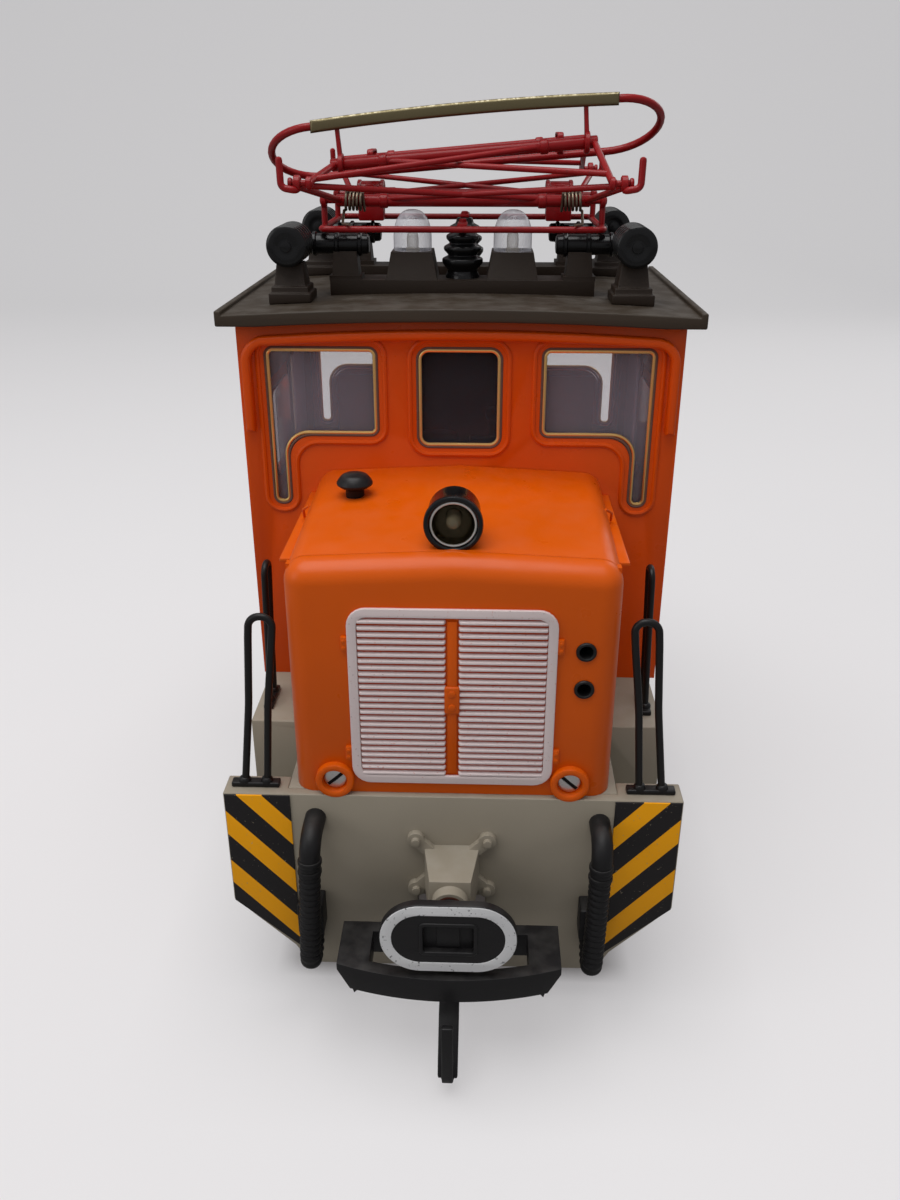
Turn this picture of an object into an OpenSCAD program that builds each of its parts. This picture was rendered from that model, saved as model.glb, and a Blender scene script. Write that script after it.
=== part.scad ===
// Two-axle centre-cab electric shunting locomotive, garden-railway size.
// +Z is up, X runs across the rails and -Y is the front. The origin is on the
// plane that the wheel flanges stand on, midway between the axles.

/* [Overall] */
// Length over the two headstocks
frame_l = 185; // [165:1:225]
// Width over the headstocks
frame_w = 100; // [92:1:122]
// Height of the deck above the wheel flanges
deck_z = 58; // [56:0.5:70]
// Thickness of the deck plate
deck_t = 2.5; // [2:0.1:4]

/* [Wheels and drive] */
// Distance between the axles
wheelbase = 84; // [76:1:96]
// Distance between the backs of the two wheels
back_gauge = 40; // [38:0.5:44]
// Tread diameter of a wheel
tread_d = 31; // [27:0.5:32]
// Depth of the flange below the tread
flange_h = 2.5; // [2:0.1:3]
// Width of a wheel
wheel_t = 6; // [5:0.1:7]
// Diameter of an axle
axle_d = 3; // [2.5:0.1:4]
// Teeth of a worm wheel, a multiple of four
gear_teeth = 20; // [16:4:20]
// Module of the worm and its wheel
gear_module = 0.8; // [0.7:0.05:0.8]
// Pitch radius of the worm
worm_r = 3.5; // [3.2:0.1:4]
// Diameter of the motor can
motor_d = 24.5; // [20:0.5:25]
// Length of the motor can
motor_l = 46; // [38:1:48]
// Outer width of the gearbox block
block_w = 30; // [28.5:0.5:34]

/* [Headstock] */
// Thickness of the headstock plate
plate_t = 2.5; // [2:0.1:3.5]
// Depth of the flat top of the headstock, front to back
beam_depth = 6.8; // [5:0.1:9]
// Length of the corner step well behind the headstock
well_l = 23.2; // [16:0.1:28]
// Height of the straight outer side of the plate
side_drop = 29.5; // [24:0.5:32]
// Height of the whole plate
plate_drop = 48; // [44:0.5:50]
// Width of the lower edge where the slanted corner ends
lower_w = 73.4; // [66:0.2:80]

/* [Hood] */
// Width of a hood
hood_w = 68.5; // [60:0.5:72]
// Height of a hood at the cab
hood_h = 56; // [50:0.5:60]
// Fall of the hood top towards its end
hood_fall = 3; // [0:0.5:5]
// Rise of the hood top at its middle
hood_crest = 1.7; // [0.5:0.1:3]
// Radius along the hood edges
hood_r = 4.5; // [2:0.5:6]
// Set-back of the hood end from the headstock face
hood_back = 1.5; // [1:0.1:4]
// Wall of the hoods
hood_wall = 1.8; // [1.4:0.1:2.4]
// Width of the radiator grille
grille_w = 42.8; // [34:0.1:44]
// Height of the radiator grille
grille_h = 41.6; // [32:0.1:42]
// Louvres in each column of the grille
louvres = 25; // [16:1:28]

/* [Cab] */
// Width of the cab
cab_w = 103; // [94:0.5:106]
// Length of the cab
cab_l = 76; // [68:0.5:80]
// Height of the cab wall above the deck
cab_h = 90.7; // [84:0.1:96]
// Wall of the cab
cab_wall = 1.8; // [1.4:0.1:2.4]
// Width of a cab door
door_w = 25; // [20:0.5:28]
// Height of a cab door
door_h = 70; // [62:0.5:74]

/* [Roof] */
// Width of the roof
roof_w = 110.4; // [106:0.2:118]
// Length of the roof
roof_l = 84.3; // [82:0.1:92]
// Thickness of the roof edge
roof_t = 2.4; // [2:0.1:3.2]
// Rise of the roof at its middle
roof_arch = 1.8; // [1:0.1:3]

/* [Pantograph] */
// Length of each of the four arms
arm_l = 28.5; // [24:0.5:31]
// Distance between the two base shafts
shaft_gap = 24; // [20:0.5:27]
// Angle of the arms when the pantograph is down
arm_rest = 10.5; // [8:0.5:16]
// Angle that the lower arms turn through when it rises
arm_lift = 45; // [20:1:50]
// Sideways lean of the apex tubes and the collector
lean = 4.7; // [0:0.1:5]
// Diameter of the base shafts and the apex tubes
shaft_d = 2.8; // [2.2:0.1:3]
// Diameter of the pantograph wires
wire_d = 1.5; // [1.2:0.1:1.7]
// Half length of the wear strip
strip_half = 35.8; // [33:0.1:38]

/* [Couplings] */
// Width over the coupler loop
loop_w = 47.4; // [42:0.2:50]
// Width of the arms of the loop
loop_arm = 6.8; // [5:0.1:8]
// Height of the loop
loop_h = 6; // [5:0.1:6.5]
// Width of the buffer plate
buffer_w = 28.3; // [24:0.1:31]
// Height of the buffer plate
buffer_h = 17.3; // [14:0.1:18]
// Distance of the buffer face from the headstock
buffer_out = 23.2; // [21:0.1:26]
// Travel of the buffer
buffer_travel = 2.5; // [1:0.1:3]

/* [Fittings] */
// Diameter of the handrail wire
rail_d = 1.6; // [1.2:0.1:1.8]
// Height of the handrails on the headstock
rail_h = 42; // [32:1:46]
// Height of the handrails on the deck
deck_rail_h = 38; // [30:1:46]
// How far the tops of the headstock handrails lean inwards
rail_lean = 4; // [0:0.5:5]
// How far the tops of the deck handrails lean inwards
deck_rail_lean = 1.2; // [0:0.1:4]
// Outer diameter of a brake hose
hose_d = 4.6; // [3.6:0.1:5]
// Inner radius of a jack socket
jack_r = 1.4; // [1.2:0.05:1.5]

/* [Hidden] */

gap = 0.3;                                  // air between parts that move past each other
run = 0.05;                                 // radial clearance of a running fit
end_y = frame_l / 2;                        // headstock face, from the middle
well_y = end_y - beam_depth - well_l;       // where the full-width deck starts
deck_b = deck_z - deck_t;                   // underside of the deck

orange = [0.87, 0.38, 0.08];
grey = [0.66, 0.64, 0.58];
roof_brown = [0.28, 0.26, 0.24];
post_brown = [0.30, 0.25, 0.19];
black = [0.06, 0.06, 0.06];
panto_red = [0.66, 0.12, 0.13];
steel = [0.75, 0.75, 0.76];
brass = [0.76, 0.6, 0.3];
silver = [0.8, 0.77, 0.77];
glass = [0.8, 0.85, 0.9, 0.4];
clear = [0.9, 0.93, 0.97, 0.4];
bulb_glass = [1, 0.95, 0.8, 0.6];
moulding_black = [0.13, 0.13, 0.14];
copper = [0.72, 0.45, 0.2];
board_green = [0.1, 0.35, 0.2];
iron = [0.35, 0.35, 0.37];
tarnished = [0.43, 0.39, 0.3];

module both_ends() {
    children();
    rotate([0, 0, 180]) children();
}

module both_sides() {
    children();
    mirror([1, 0, 0]) children();
}

module four_corners() {
    both_ends() both_sides() children();
}

// a box given by its lowest and highest corners
module block(low, high) {
    translate(low) cube(high - low);
}

module along_x(h, r, fn = 40) {
    rotate([0, 90, 0]) cylinder(h = h, r = r, center = true, $fn = fn);
}

module along_y(h, r, fn = 40) {
    rotate([90, 0, 0]) cylinder(h = h, r = r, center = true, $fn = fn);
}

// a flat outline with four round corners
module rounded(w, h, r) {
    square([w - 2 * r, h], center = true);
    square([w, h - 2 * r], center = true);
    for (sx = [-1, 1], sy = [-1, 1])
        translate([sx * (w / 2 - r), sy * (h / 2 - r)]) circle(r, $fn = 32);
}

// an outline drawn across the end of the locomotive, pushed along Y from y0 to y1
module push_y(y0, y1) {
    translate([0, y1, 0]) rotate([90, 0, 0]) linear_extrude(y1 - y0) children();
}

// an outline drawn from the side, Y to the right and Z up, pushed along X
module push_x(x0, x1) {
    translate([x0, 0, 0]) rotate([90, 0, 90]) linear_extrude(x1 - x0) children();
}

// a block that narrows upwards
module taper_box(w0, d0, w1, d1, h) {
    intersection() {
        push_y(-d0, d0) polygon([[-w0 / 2, 0], [w0 / 2, 0], [w1 / 2, h], [-w1 / 2, h]]);
        push_x(-w0, w0) polygon([[-d0 / 2, 0], [d0 / 2, 0], [d1 / 2, h], [-d1 / 2, h]]);
    }
}

// a straight wire between two points, run on a little at both ends
module wire(a, b, d = wire_d) {
    v = b - a;
    l = norm(v);
    ext = d / 4;
    translate(a) rotate([0, acos(v.z / l), atan2(v.y, v.x)])
        translate([0, 0, -ext]) cylinder(h = l + 2 * ext, d = d, $fn = 12);
}

module wire_path(points, d = wire_d) {
    for (i = [0 : len(points) - 2]) wire(points[i], points[i + 1], d);
}

// ---- chassis ----

spine_w = 72;                               // width of the deck under the hoods
pivot_y = end_y - 12;                       // swing screw of a coupler
pivot_r = 1.5;
loop_top = deck_z - 28.3;
loop_bottom = loop_top - loop_h;
shank_w = 9;                                // neck of the coupler
coupler_swing = 12;                         // each way
boss_r = 5;
boss_grip = 12;                             // length of thread in the boss
step_z = 30;                                // top of a corner step
step_t = 1.6;
step_in = spine_w / 2;
step_out = frame_w / 2 - 1;
riser_t = 2;                                // wall that closes the deck behind a step well
riser_low = 38;

module chassis_frame() {
    color(grey) {
        block([-spine_w / 2, -(end_y - plate_t), deck_b], [spine_w / 2, end_y - plate_t, deck_z]);
        block([-frame_w / 2, -well_y, deck_b], [frame_w / 2, well_y, deck_z]);
        both_ends() block([-frame_w / 2, -well_y, riser_low], [frame_w / 2, -well_y + riser_t, deck_b + 0.5]);
        four_corners() {
            // hanger and tread of the corner step
            block([step_in - step_t, -(end_y - beam_depth - 0.6), step_z - step_t],
                [step_in, -(well_y + 0.6), deck_b + 1]);
            block([step_in - step_t, -(end_y - beam_depth - 0.6), step_z - step_t],
                [step_out, -(well_y + 0.6), step_z]);
        }
        both_ends() difference() {
            translate([0, -pivot_y, loop_top + gap])
                cylinder(h = deck_b + 1 - loop_top - gap, r = boss_r, $fn = 40);
            translate([0, -pivot_y, loop_top]) cylinder(h = boss_grip, r = pivot_r, $fn = 32);
        }
    }
}

// opening for the neck of the coupler as it swings
slot_w = shank_w / cos(coupler_swing) + 2 * (end_y - pivot_y) * tan(coupler_swing) + 3 * gap;
slot_air = 1.5;
slot_low = loop_bottom - slot_air;
slot_high = loop_top + slot_air;

module headstock() {
    color(grey) difference() {
        union() {
            push_y(-end_y, -end_y + plate_t) polygon([
                [-frame_w / 2, deck_z], [-frame_w / 2, deck_z - side_drop],
                [-lower_w / 2, deck_z - side_drop - (frame_w - lower_w) / 2],
                [-lower_w / 2 + 3, deck_z - plate_drop],
                [lower_w / 2 - 3, deck_z - plate_drop],
                [lower_w / 2, deck_z - side_drop - (frame_w - lower_w) / 2],
                [frame_w / 2, deck_z - side_drop], [frame_w / 2, deck_z]]);
            // flat top outside the spine of the deck
            both_sides() block([spine_w / 2, -end_y, deck_b], [frame_w / 2, -(end_y - beam_depth), deck_z]);
            both_sides() block([spine_w / 2 + 2, -end_y + plate_t - 0.5, deck_z - side_drop],
                [spine_w / 2 + 3.5, -(end_y - beam_depth), deck_b + 0.5]);
        }
        block([-slot_w / 2, -end_y - 1, slot_low], [slot_w / 2, -end_y + plate_t + 1, slot_high]);
    }
}

module headstock_front() headstock();
module headstock_rear() rotate([0, 0, 180]) headstock();

axle_z = tread_d / 2 + flange_h;
wheel_out = back_gauge / 2 + wheel_t;
frame_x = wheel_out + 5;                    // inner face of a side frame
frame_t = 2.5;
box_w = 12;                                 // axle box
box_h = 13;
box_out = 6;
leaf_t = 1.3;
leaf_count = 4;

module side_frame() {
    color(grey) difference() {
        union() {
            // bar under the deck with a horn plate at each axle
            push_x(frame_x, frame_x + frame_t) union() {
                translate([-well_y + riser_t, deck_b - 12]) square([2 * (well_y - riser_t), 12]);
                for (s = [-1, 1]) polygon([
                    [s * wheelbase / 2 - 16, deck_b - 11], [s * wheelbase / 2 + 16, deck_b - 11],
                    [s * wheelbase / 2 + 9, axle_z - 8], [s * wheelbase / 2 - 9, axle_z - 8]]);
            }
            for (s = [-1, 1]) translate([frame_x + frame_t, s * wheelbase / 2, axle_z]) {
                block([-0.5, -box_w / 2, -box_h / 2], [box_out, box_w / 2, box_h / 2]);
                // leaf spring above the axle box, longest leaf on top
                for (i = [0 : leaf_count - 1]) block(
                    [-0.5, -7 - 2.2 * i, box_h / 2 + 3 + leaf_t * i],
                    [4.5, 7 + 2.2 * i, box_h / 2 + 3 + leaf_t * (i + 1)]);
                block([-0.5, -2.5, box_h / 2 - 0.5], [5.2, 2.5, box_h / 2 + 3 + leaf_t * leaf_count + 1]);
            }
        }
        for (s = [-1, 1]) translate([frame_x + 1, s * wheelbase / 2, axle_z]) along_x(7, axle_d / 2 + gap);
    }
}

module side_frames() both_sides() side_frame();

// ---- wheels, motor and gearbox ----

flange_t = 1.5;
hub_r = 4.5;

module wheel() {
    // one wheel on the +X side
    color(steel) translate([back_gauge / 2, 0, axle_z]) rotate([0, 90, 0]) rotate_extrude($fn = 72) polygon([
        [axle_d / 2, 0], [hub_r, 0], [hub_r, 1.4], [tread_d / 2 - 3, 1.4], [tread_d / 2 - 2, 0.2],
        [tread_d / 2 + flange_h - 0.6, 0], [tread_d / 2 + flange_h, 0.6], [tread_d / 2 + 0.5, flange_t],
        [tread_d / 2, flange_t + 0.5], [tread_d / 2 - 0.3, wheel_t], [tread_d / 2 - 2.4, wheel_t],
        [tread_d / 2 - 3, 3.2], [hub_r, 3.2], [hub_r, wheel_t + 0.6], [axle_d / 2, wheel_t + 0.6]]);
}

module wheels(s) translate([0, s * wheelbase / 2, 0]) both_sides() wheel();
module wheels_front() wheels(-1);
module wheels_rear() wheels(1);

module axle(s) {
    color(steel) translate([0, s * wheelbase / 2, axle_z]) along_x(2 * (frame_x + frame_t) - 1, axle_d / 2);
}

module axle_front() axle(-1);
module axle_rear() axle(1);

gear_r = gear_teeth * gear_module / 2;
shaft_z = axle_z + gear_r + worm_r;         // motor shaft above the axles
tooth_root = gear_r - 1.15 * gear_module;
tooth_tip = gear_r + 0.75 * gear_module;
tooth_half = 0.22 * PI * gear_module;       // half of a tooth at its root
gear_w = 5;

module worm_wheel(s) {
    color("ivory") translate([0, s * wheelbase / 2, axle_z]) rotate([90, 0, 90]) difference() {
        union() {
            translate([0, 0, -gear_w / 2]) linear_extrude(gear_w) {
                circle(tooth_root, $fn = 80);
                for (i = [0 : gear_teeth - 1]) rotate(i * 360 / gear_teeth) polygon([
                    [tooth_root - 0.5, -tooth_half], [tooth_tip, -tooth_half * 0.45],
                    [tooth_tip, tooth_half * 0.45], [tooth_root - 0.5, tooth_half]]);
            }
            cylinder(h = gear_w + 5, r = axle_d / 2 + 1.6, center = true, $fn = 32);
        }
        cylinder(h = gear_w + 8, r = axle_d / 2, center = true, $fn = 32);
    }
}

module worm_wheel_front() worm_wheel(-1);
module worm_wheel_rear() worm_wheel(1);

block_wall = 2;
block_end = wheelbase / 2 + 15;
block_top = shaft_z + motor_d / 2 + 1 + block_wall;
keeper_t = 1.6;
block_low = axle_z - tooth_tip - 2.2 + keeper_t;
rotor_d = 2;                                // motor shaft
worm_l = 4.8 * PI * gear_module;
web_t = 2;
web_in = motor_l / 2 + 1;

module motor_block() {
    color(moulding_black) difference() {
        block([-block_w / 2, -block_end, block_low], [block_w / 2, block_end, block_top]);
        difference() {
            block([-block_w / 2 + block_wall, -block_end + block_wall, block_low - 1],
                [block_w / 2 - block_wall, block_end - block_wall, block_top - block_wall]);
            // webs that hold the motor
            for (s = [-1, 1]) translate([0, s * (web_in + web_t / 2), 0])
                block([-block_w / 2, -web_t / 2, axle_z + 3], [block_w / 2, web_t / 2, block_top]);
        }
        translate([0, 0, shaft_z]) along_y(2 * block_end - block_wall, rotor_d / 2 + run);
        for (s = [-1, 1]) translate([0, s * wheelbase / 2, axle_z]) along_x(block_w + 2, axle_d / 2 + run);
    }
}

module motor_can() {
    color(steel) translate([0, 0, shaft_z]) difference() {
        along_y(motor_l, motor_d / 2, 64);
        along_y(motor_l - 3, motor_d / 2 - 1.2, 64);
        along_y(motor_l + 2, rotor_d / 2 + run);
    }
}

module armature() {
    color(copper) translate([0, 0, shaft_z]) {
        along_y(2 * block_end - 4, rotor_d / 2);
        along_y(motor_l * 0.55, motor_d / 2 - 3.2, 48);
        translate([0, motor_l / 2 - 6, 0]) along_y(6, 3);
    }
}

module worm() {
    pitch = PI * gear_module;
    steps = 9;                              // slices in one turn of the thread
    translate([0, -worm_l / 2, shaft_z]) rotate([-90, 0, 0]) difference() {
        rotate(-90 - 180 * worm_l / pitch)
            linear_extrude(height = worm_l, twist = -360 * worm_l / pitch,
                slices = round(steps * worm_l / pitch))
                translate([0.85 * gear_module, 0]) circle(worm_r - 0.1, $fn = 14);
        translate([0, 0, -1]) cylinder(h = worm_l + 2, r = rotor_d / 2, $fn = 32);
    }
}

module worms() {
    color(brass) for (s = [-1, 1]) translate([0, s * wheelbase / 2, 0]) worm();
}

module keeper_plate() {
    color(moulding_black) difference() {
        block([-block_w / 2, -block_end, block_low - keeper_t], [block_w / 2, block_end, block_low]);
        for (sx = [-1, 1], sy = [-1, 1]) translate([sx * keeper_x, sy * keeper_y, block_low - keeper_t - 1])
            cylinder(h = keeper_t + 2, r = screw_r, $fn = 24);
    }
    color(moulding_black) difference() {
        // bosses that the keeper screws bite into
        for (sx = [-1, 1], sy = [-1, 1]) translate([sx * keeper_x, sy * keeper_y, block_low - 0.01])
            cylinder(h = 6, r = 2.4, $fn = 24);
        for (sx = [-1, 1], sy = [-1, 1]) translate([sx * keeper_x, sy * keeper_y, block_low - 1])
            cylinder(h = 8, r = screw_r, $fn = 24);
    }
}

screw_r = 1;
head_r = 1.9;                               // heads of the keeper screws
head_t = 0.9;
keeper_x = block_w / 2 - block_wall - 3;
keeper_y = wheelbase / 2 - 12;

module underframe_screws() {
    color(steel) {
        both_ends() translate([0, -pivot_y, 0]) {
            translate([0, 0, loop_bottom - gap - 1.4]) cylinder(h = 1.4, r = 3.2, $fn = 32);
            translate([0, 0, loop_bottom - gap - 0.5])
                cylinder(h = loop_h + 2 * gap + 9, r = pivot_r, $fn = 32);
        }
        for (sx = [-1, 1], sy = [-1, 1])
            translate([sx * keeper_x, sy * keeper_y, block_low - keeper_t - head_t]) {
            cylinder(h = head_t, r = head_r, $fn = 24);
            cylinder(h = keeper_t + 6, r = screw_r, $fn = 24);
        }
    }
}

wiper_z = axle_z + 6;

module pickup_wipers() {
    // a bent strip beside each wheel, screwed flat to the block
    color(brass) both_sides() for (s = [-1, 1]) translate([0, s * wheelbase / 2, 0]) {
        block([block_w / 2, -s * 16 - 4, wiper_z], [block_w / 2 + 0.5, -s * 16 + 4, wiper_z + 5]);
        wire([block_w / 2 + 0.4, -s * 15, wiper_z + 2.5],
            [back_gauge / 2 - gap - 0.5, -s * 9, wiper_z + 2.5], 0.8);
    }
}

board_t = 1.6;
board_gap = 2;
board_w = 26;
board_l = 64;
post_in = 3;                                // spacers of the board, from its sides

module circuit_board() {
    color(board_green) {
        block([-board_w / 2, -board_l / 2, block_top + board_gap],
            [board_w / 2, board_l / 2, block_top + board_gap + board_t]);
        for (sx = [-1, 1], sy = [-1, 1])
            translate([sx * (board_w / 2 - post_in), sy * (board_l / 2 - post_in - 1), block_top])
                cylinder(h = board_gap + 0.5, r = 1.6, $fn = 24);
    }
    color(black) {
        translate([0, -12, block_top + board_gap + board_t - 0.1]) block([-5, -7, 0], [5, 7, 2]);
        translate([2, 14, block_top + board_gap + board_t - 0.1]) cylinder(h = 2.6, r = 4, $fn = 32);
    }
}

ballast_h = 26;
ballast_side = 8;                           // air to the sides of the hood
ballast_end = 16;                           // from the headstock face
ballast_cab = 6;                            // from the cab

module ballast_weights() {
    color(iron) both_ends() difference() {
        block([-hood_w / 2 + ballast_side, -end_y + ballast_end, deck_z],
            [hood_w / 2 - ballast_side, -cab_l / 2 - ballast_cab, deck_z + ballast_h]);
        // hole for the fixing screw, in the middle of the block
        translate([0, -(end_y - ballast_end + cab_l / 2 + ballast_cab) / 2, deck_z - 1])
            cylinder(h = ballast_h + 2, r = 3, $fn = 32);
    }
}

// ---- hoods and what is on them ----

hood_end = end_y - hood_back;
hood_low = hood_h - hood_fall;

// the outside of the front hood, drawn in by an even inset
module hood_form(inset) {
    w = hood_w / 2 - inset;
    r = max(hood_r - inset, 0.5);
    top = deck_z + hood_h - inset;
    y0 = -hood_end + inset;
    y1 = -cab_l / 2;
    intersection() {
        push_y(y0 - 1, y1) union() {
            translate([-w, deck_z]) square([2 * w, hood_h - inset - r]);
            for (s = [-1, 1]) translate([s * (w - r), top - r]) circle(r, $fn = 48);
            polygon([[-w + r, top - 2 * r], [w - r, top - 2 * r], [w - r, top], [0, top + hood_crest],
                [-w + r, top]]);
        }
        push_x(-w - 1, w + 1) union() {
            translate([y0, deck_z - 1]) square([y1 - y0, hood_low - inset + 1 - r + hood_crest / 2]);
            translate([y0 + r, deck_z + hood_low + hood_crest / 2 - inset - r]) circle(r, $fn = 48);
            polygon([[y0 + r, deck_z], [y1, deck_z], [y1, top + hood_crest],
                [y0 + r, deck_z + hood_low + hood_crest / 2 - inset]]);
        }
        translate([0, (y0 + y1) / 2 + 5, deck_z]) linear_extrude(hood_h + 10) union() {
            rounded(2 * w, y1 - y0 - 10, r);
            translate([-w, 0]) square([2 * w, (y1 - y0) / 2 + 1]);
            translate([-w + r, -(y1 - y0) / 2 - 5]) square([2 * w - 2 * r, 20]);
            for (s = [-1, 1]) translate([s * (w - r), -(y1 - y0) / 2 - 5 + r]) circle(r, $fn = 48);
            translate([-w, -(y1 - y0) / 2 - 5 + r]) square([2 * w, 20]);
        }
    }
}

ring_x = 25.3;                              // fixing screws of the hood
ring_z = 3.5;
ring_r = 4.2;
ring_hole = 2.7;
jack_x = 27.2;
jack_step = 8.7;
jack_z = 30.9;
jack_out = 2.1;                             // radius of the rim
jack_tube = jack_out - 0.5;
jack_fit = 0.05;                            // clearance of the tube in the hood
jack_rim_t = 0.6;
jack_l = 8;
jack_floor = 1;                             // closed end of the socket

module hood() {
    color(orange) difference() {
        union() {
            difference() {
                hood_form(0);
                translate([0, 0, -0.01]) hood_form(hood_wall);
                block([-hood_w / 2 + hood_wall, -hood_end + hood_wall + hood_r, deck_z - 1],
                    [hood_w / 2 - hood_wall, -cab_l / 2 + 1, deck_z + 1]);
            }
            both_sides() translate([ring_x, -hood_end + 1, deck_z + ring_z]) along_y(5.2, ring_r, 48);
            // middle bar of the grille and its latch
            translate([0, -hood_end, deck_z + grille_z]) {
                block([-bar_half, -0.5, -grille_h / 2 + grille_border],
                    [bar_half, 1, grille_h / 2 - grille_border]);
                block([-latch_half, -0.8, -latch_h / 2], [latch_half, 1, latch_h / 2]);
            }
        }
        both_sides() translate([ring_x, -hood_end - 2, deck_z + ring_z]) along_y(6, ring_hole, 40);
        both_sides() translate([ring_x, -hood_end, deck_z + ring_z]) along_y(20, screw_r, 24);
        for (s = [-1, 1]) translate([jack_x, -hood_end, deck_z + jack_z - s * jack_step / 2])
            along_y(20, jack_tube + jack_fit, 40);
        // the rings end on the deck
        block([-spine_w / 2, -end_y - 0.01, deck_z - 5], [spine_w / 2, -cab_l / 2, deck_z]);
    }
}

module hood_front() hood();
module hood_rear() rotate([0, 0, 180]) hood();

grille_z = 23.8;                            // middle of the grille above the deck
grille_border = 2;
bar_half = 1.05;                            // orange bar between the louvre columns
latch_half = 2.2;
latch_h = 5;
louvre_pitch = (grille_h - 2 * grille_border) / louvres;

module grille() {
    color(silver) translate([0, -hood_end, deck_z + grille_z]) difference() {
        grille_bars();
        // room for the latch on the middle bar
        block([-latch_half - 0.15, -2, -latch_h / 2 - 0.15], [latch_half + 0.15, 1, latch_h / 2 + 0.15]);
    }
}

module grille_bars() {
    union() {
        push_y(-1, 0) difference() {
            rounded(grille_w, grille_h, 4);
            rounded(grille_w - 2 * grille_border, grille_h - 2 * grille_border, 2.4);
        }
        both_sides() for (i = [0 : louvres - 1])
            translate([0, 0, -grille_h / 2 + grille_border + (i + 0.5) * louvre_pitch])
                push_x(bar_half + 0.15, grille_w / 2 - grille_border + 0.3)
                    polygon([[0, -0.42], [0, 0.3], [-0.95, -0.1], [-0.95, -0.42]]);
    }
}

module grille_front() grille();
module grille_rear() rotate([0, 0, 180]) grille();

module hood_screws() {
    color(steel) both_ends() both_sides() translate([ring_x, 0, deck_z + ring_z]) difference() {
        union() {
            translate([0, -hood_end + 0.2, 0]) along_y(1.6, ring_hole - 0.15, 40);
            translate([0, -hood_end + 4, 0]) along_y(8, screw_r, 24);
        }
        translate([0, -hood_end - 0.6, 0]) rotate([0, 45, 0]) cube([8, 1, 0.7], center = true);
    }
}

lamp_r = 6;
lamp_y = -hood_end + 5.5;                   // front of the headlamp
lamp_l = 9;
lamp_z = deck_z + hood_low + hood_crest / 2 + lamp_r + 0.2;
lamp_bore = 4.9;

module headlamp_housing() {
    difference() {
        translate([0, lamp_y, lamp_z]) {
            translate([0, lamp_l / 2, 0]) along_y(lamp_l, lamp_r - 0.6, 48);
            translate([0, 0.8, 0]) along_y(1.6, lamp_r, 48);
            block([-3, 2, -lamp_r - 1.2], [3, lamp_l - 1, -lamp_r + 2.5]);
        }
        translate([0, lamp_y + 2.4, lamp_z]) along_y(lamp_l, lamp_bore, 48);
        hood_form(-0.02);
    }
}

module headlamp_housings() color(black) both_ends() headlamp_housing();

module headlamp_reflectors() {
    color(steel) both_ends() translate([0, lamp_y + 0.6, lamp_z]) rotate([-90, 0, 0]) rotate_extrude($fn = 48)
        polygon([[lamp_bore, 0], [lamp_bore, 6.2], [1.6, 6.2], [1.6, 5], [2.6, 4.6], [3.7, 3], [4.2, 0]]);
}

dome_x = 12.2;
dome_y = shaft_gap / 2;

module lamp_bulbs() {
    color(bulb_glass) {
        both_ends() translate([0, lamp_y + 0.9, lamp_z]) rotate([-90, 0, 0]) rotate_extrude($fn = 32)
            polygon([[0, 0.5], [0.8, 0.8], [1.4, 1.8], [1.5, 3], [1.5, 5.98], [0, 5.98]]);
        both_sides() translate([dome_x, -dome_y, dome_z - 0.6]) rotate_extrude($fn = 32)
            polygon([[0, 0], [1.4, 0], [1.4, 3.6], [1.2, 4.8], [0.6, 5.6], [0, 5.8]]);
    }
}

module jack_sockets() {
    color(black) both_ends() for (s = [-1, 1])
        translate([jack_x, -hood_end, deck_z + jack_z - s * jack_step / 2]) difference() {
            union() {
                push_y(-jack_rim_t, 0) circle(jack_out, $fn = 40);
                push_y(-jack_rim_t / 2, jack_l) circle(jack_tube, $fn = 40);
            }
            push_y(-2 * jack_rim_t, jack_l - jack_floor) circle(jack_r, $fn = 40);
        }
}

cap_x = -23.2;
cap_back = 37.5;                            // filler cap behind the headstock face
cap_y = cap_back - end_y;

module filler_caps() {
    z0 = deck_z + hood_h - hood_fall - 1;
    color(black) both_ends() translate([cap_x, cap_y, 0]) difference() {
        translate([0, 0, z0]) rotate_extrude($fn = 40)
            polygon([[0, 0], [2.1, 0], [2.1, 5], [3, 5.6], [4.1, 6], [4.1, 7], [3.2, 8.2], [0, 8.9]]);
        translate([-cap_x, -cap_y, 0]) hood_form(-0.02);
    }
}

// ---- cab ----

roof_z = deck_z + cab_h;
roof_big_r = (pow(roof_w / 2, 2) + pow(roof_arch, 2)) / (2 * roof_arch);
roof_under = roof_z + roof_arch * 0.7 - roof_big_r;     // centre of the arch under the roof
arch_half = cab_w / 2 - 3;                  // the roof lies flat outside this

win_mid_w = 20.2;
win_low = 61.8;
win_high = 85.8;
side_in = 18.9;                             // L-shaped corner windows
side_out = 45.5;
side_low = 64.5;
leg_in = 40.7;
leg_low = 47.3;
step_r = 5.5;                               // round step between leg and window
rib_t = 2.2;                                // arched rib over the end windows
rib_out = 2.5;
rib_top = 89.8;
rib_crest = 1.5;                            // rise of the rib at its middle
rib_corner = 6;
rib_half = cab_w / 2 - 1;
rib_low = 66;
door_z0 = deck_z + 1.8;
door_y = door_w / 2;
side_win_w = 15;
side_win_low = 46;
side_win_high = 72;
side_win_y = (door_w / 2 + 3 + cab_l / 2 - 4) / 2;

module mid_window(grow = 0) {
    translate([0, deck_z + (win_low + win_high) / 2])
        rounded(win_mid_w + 2 * grow, win_high - win_low + 2 * grow, 3 + grow);
}

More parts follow.
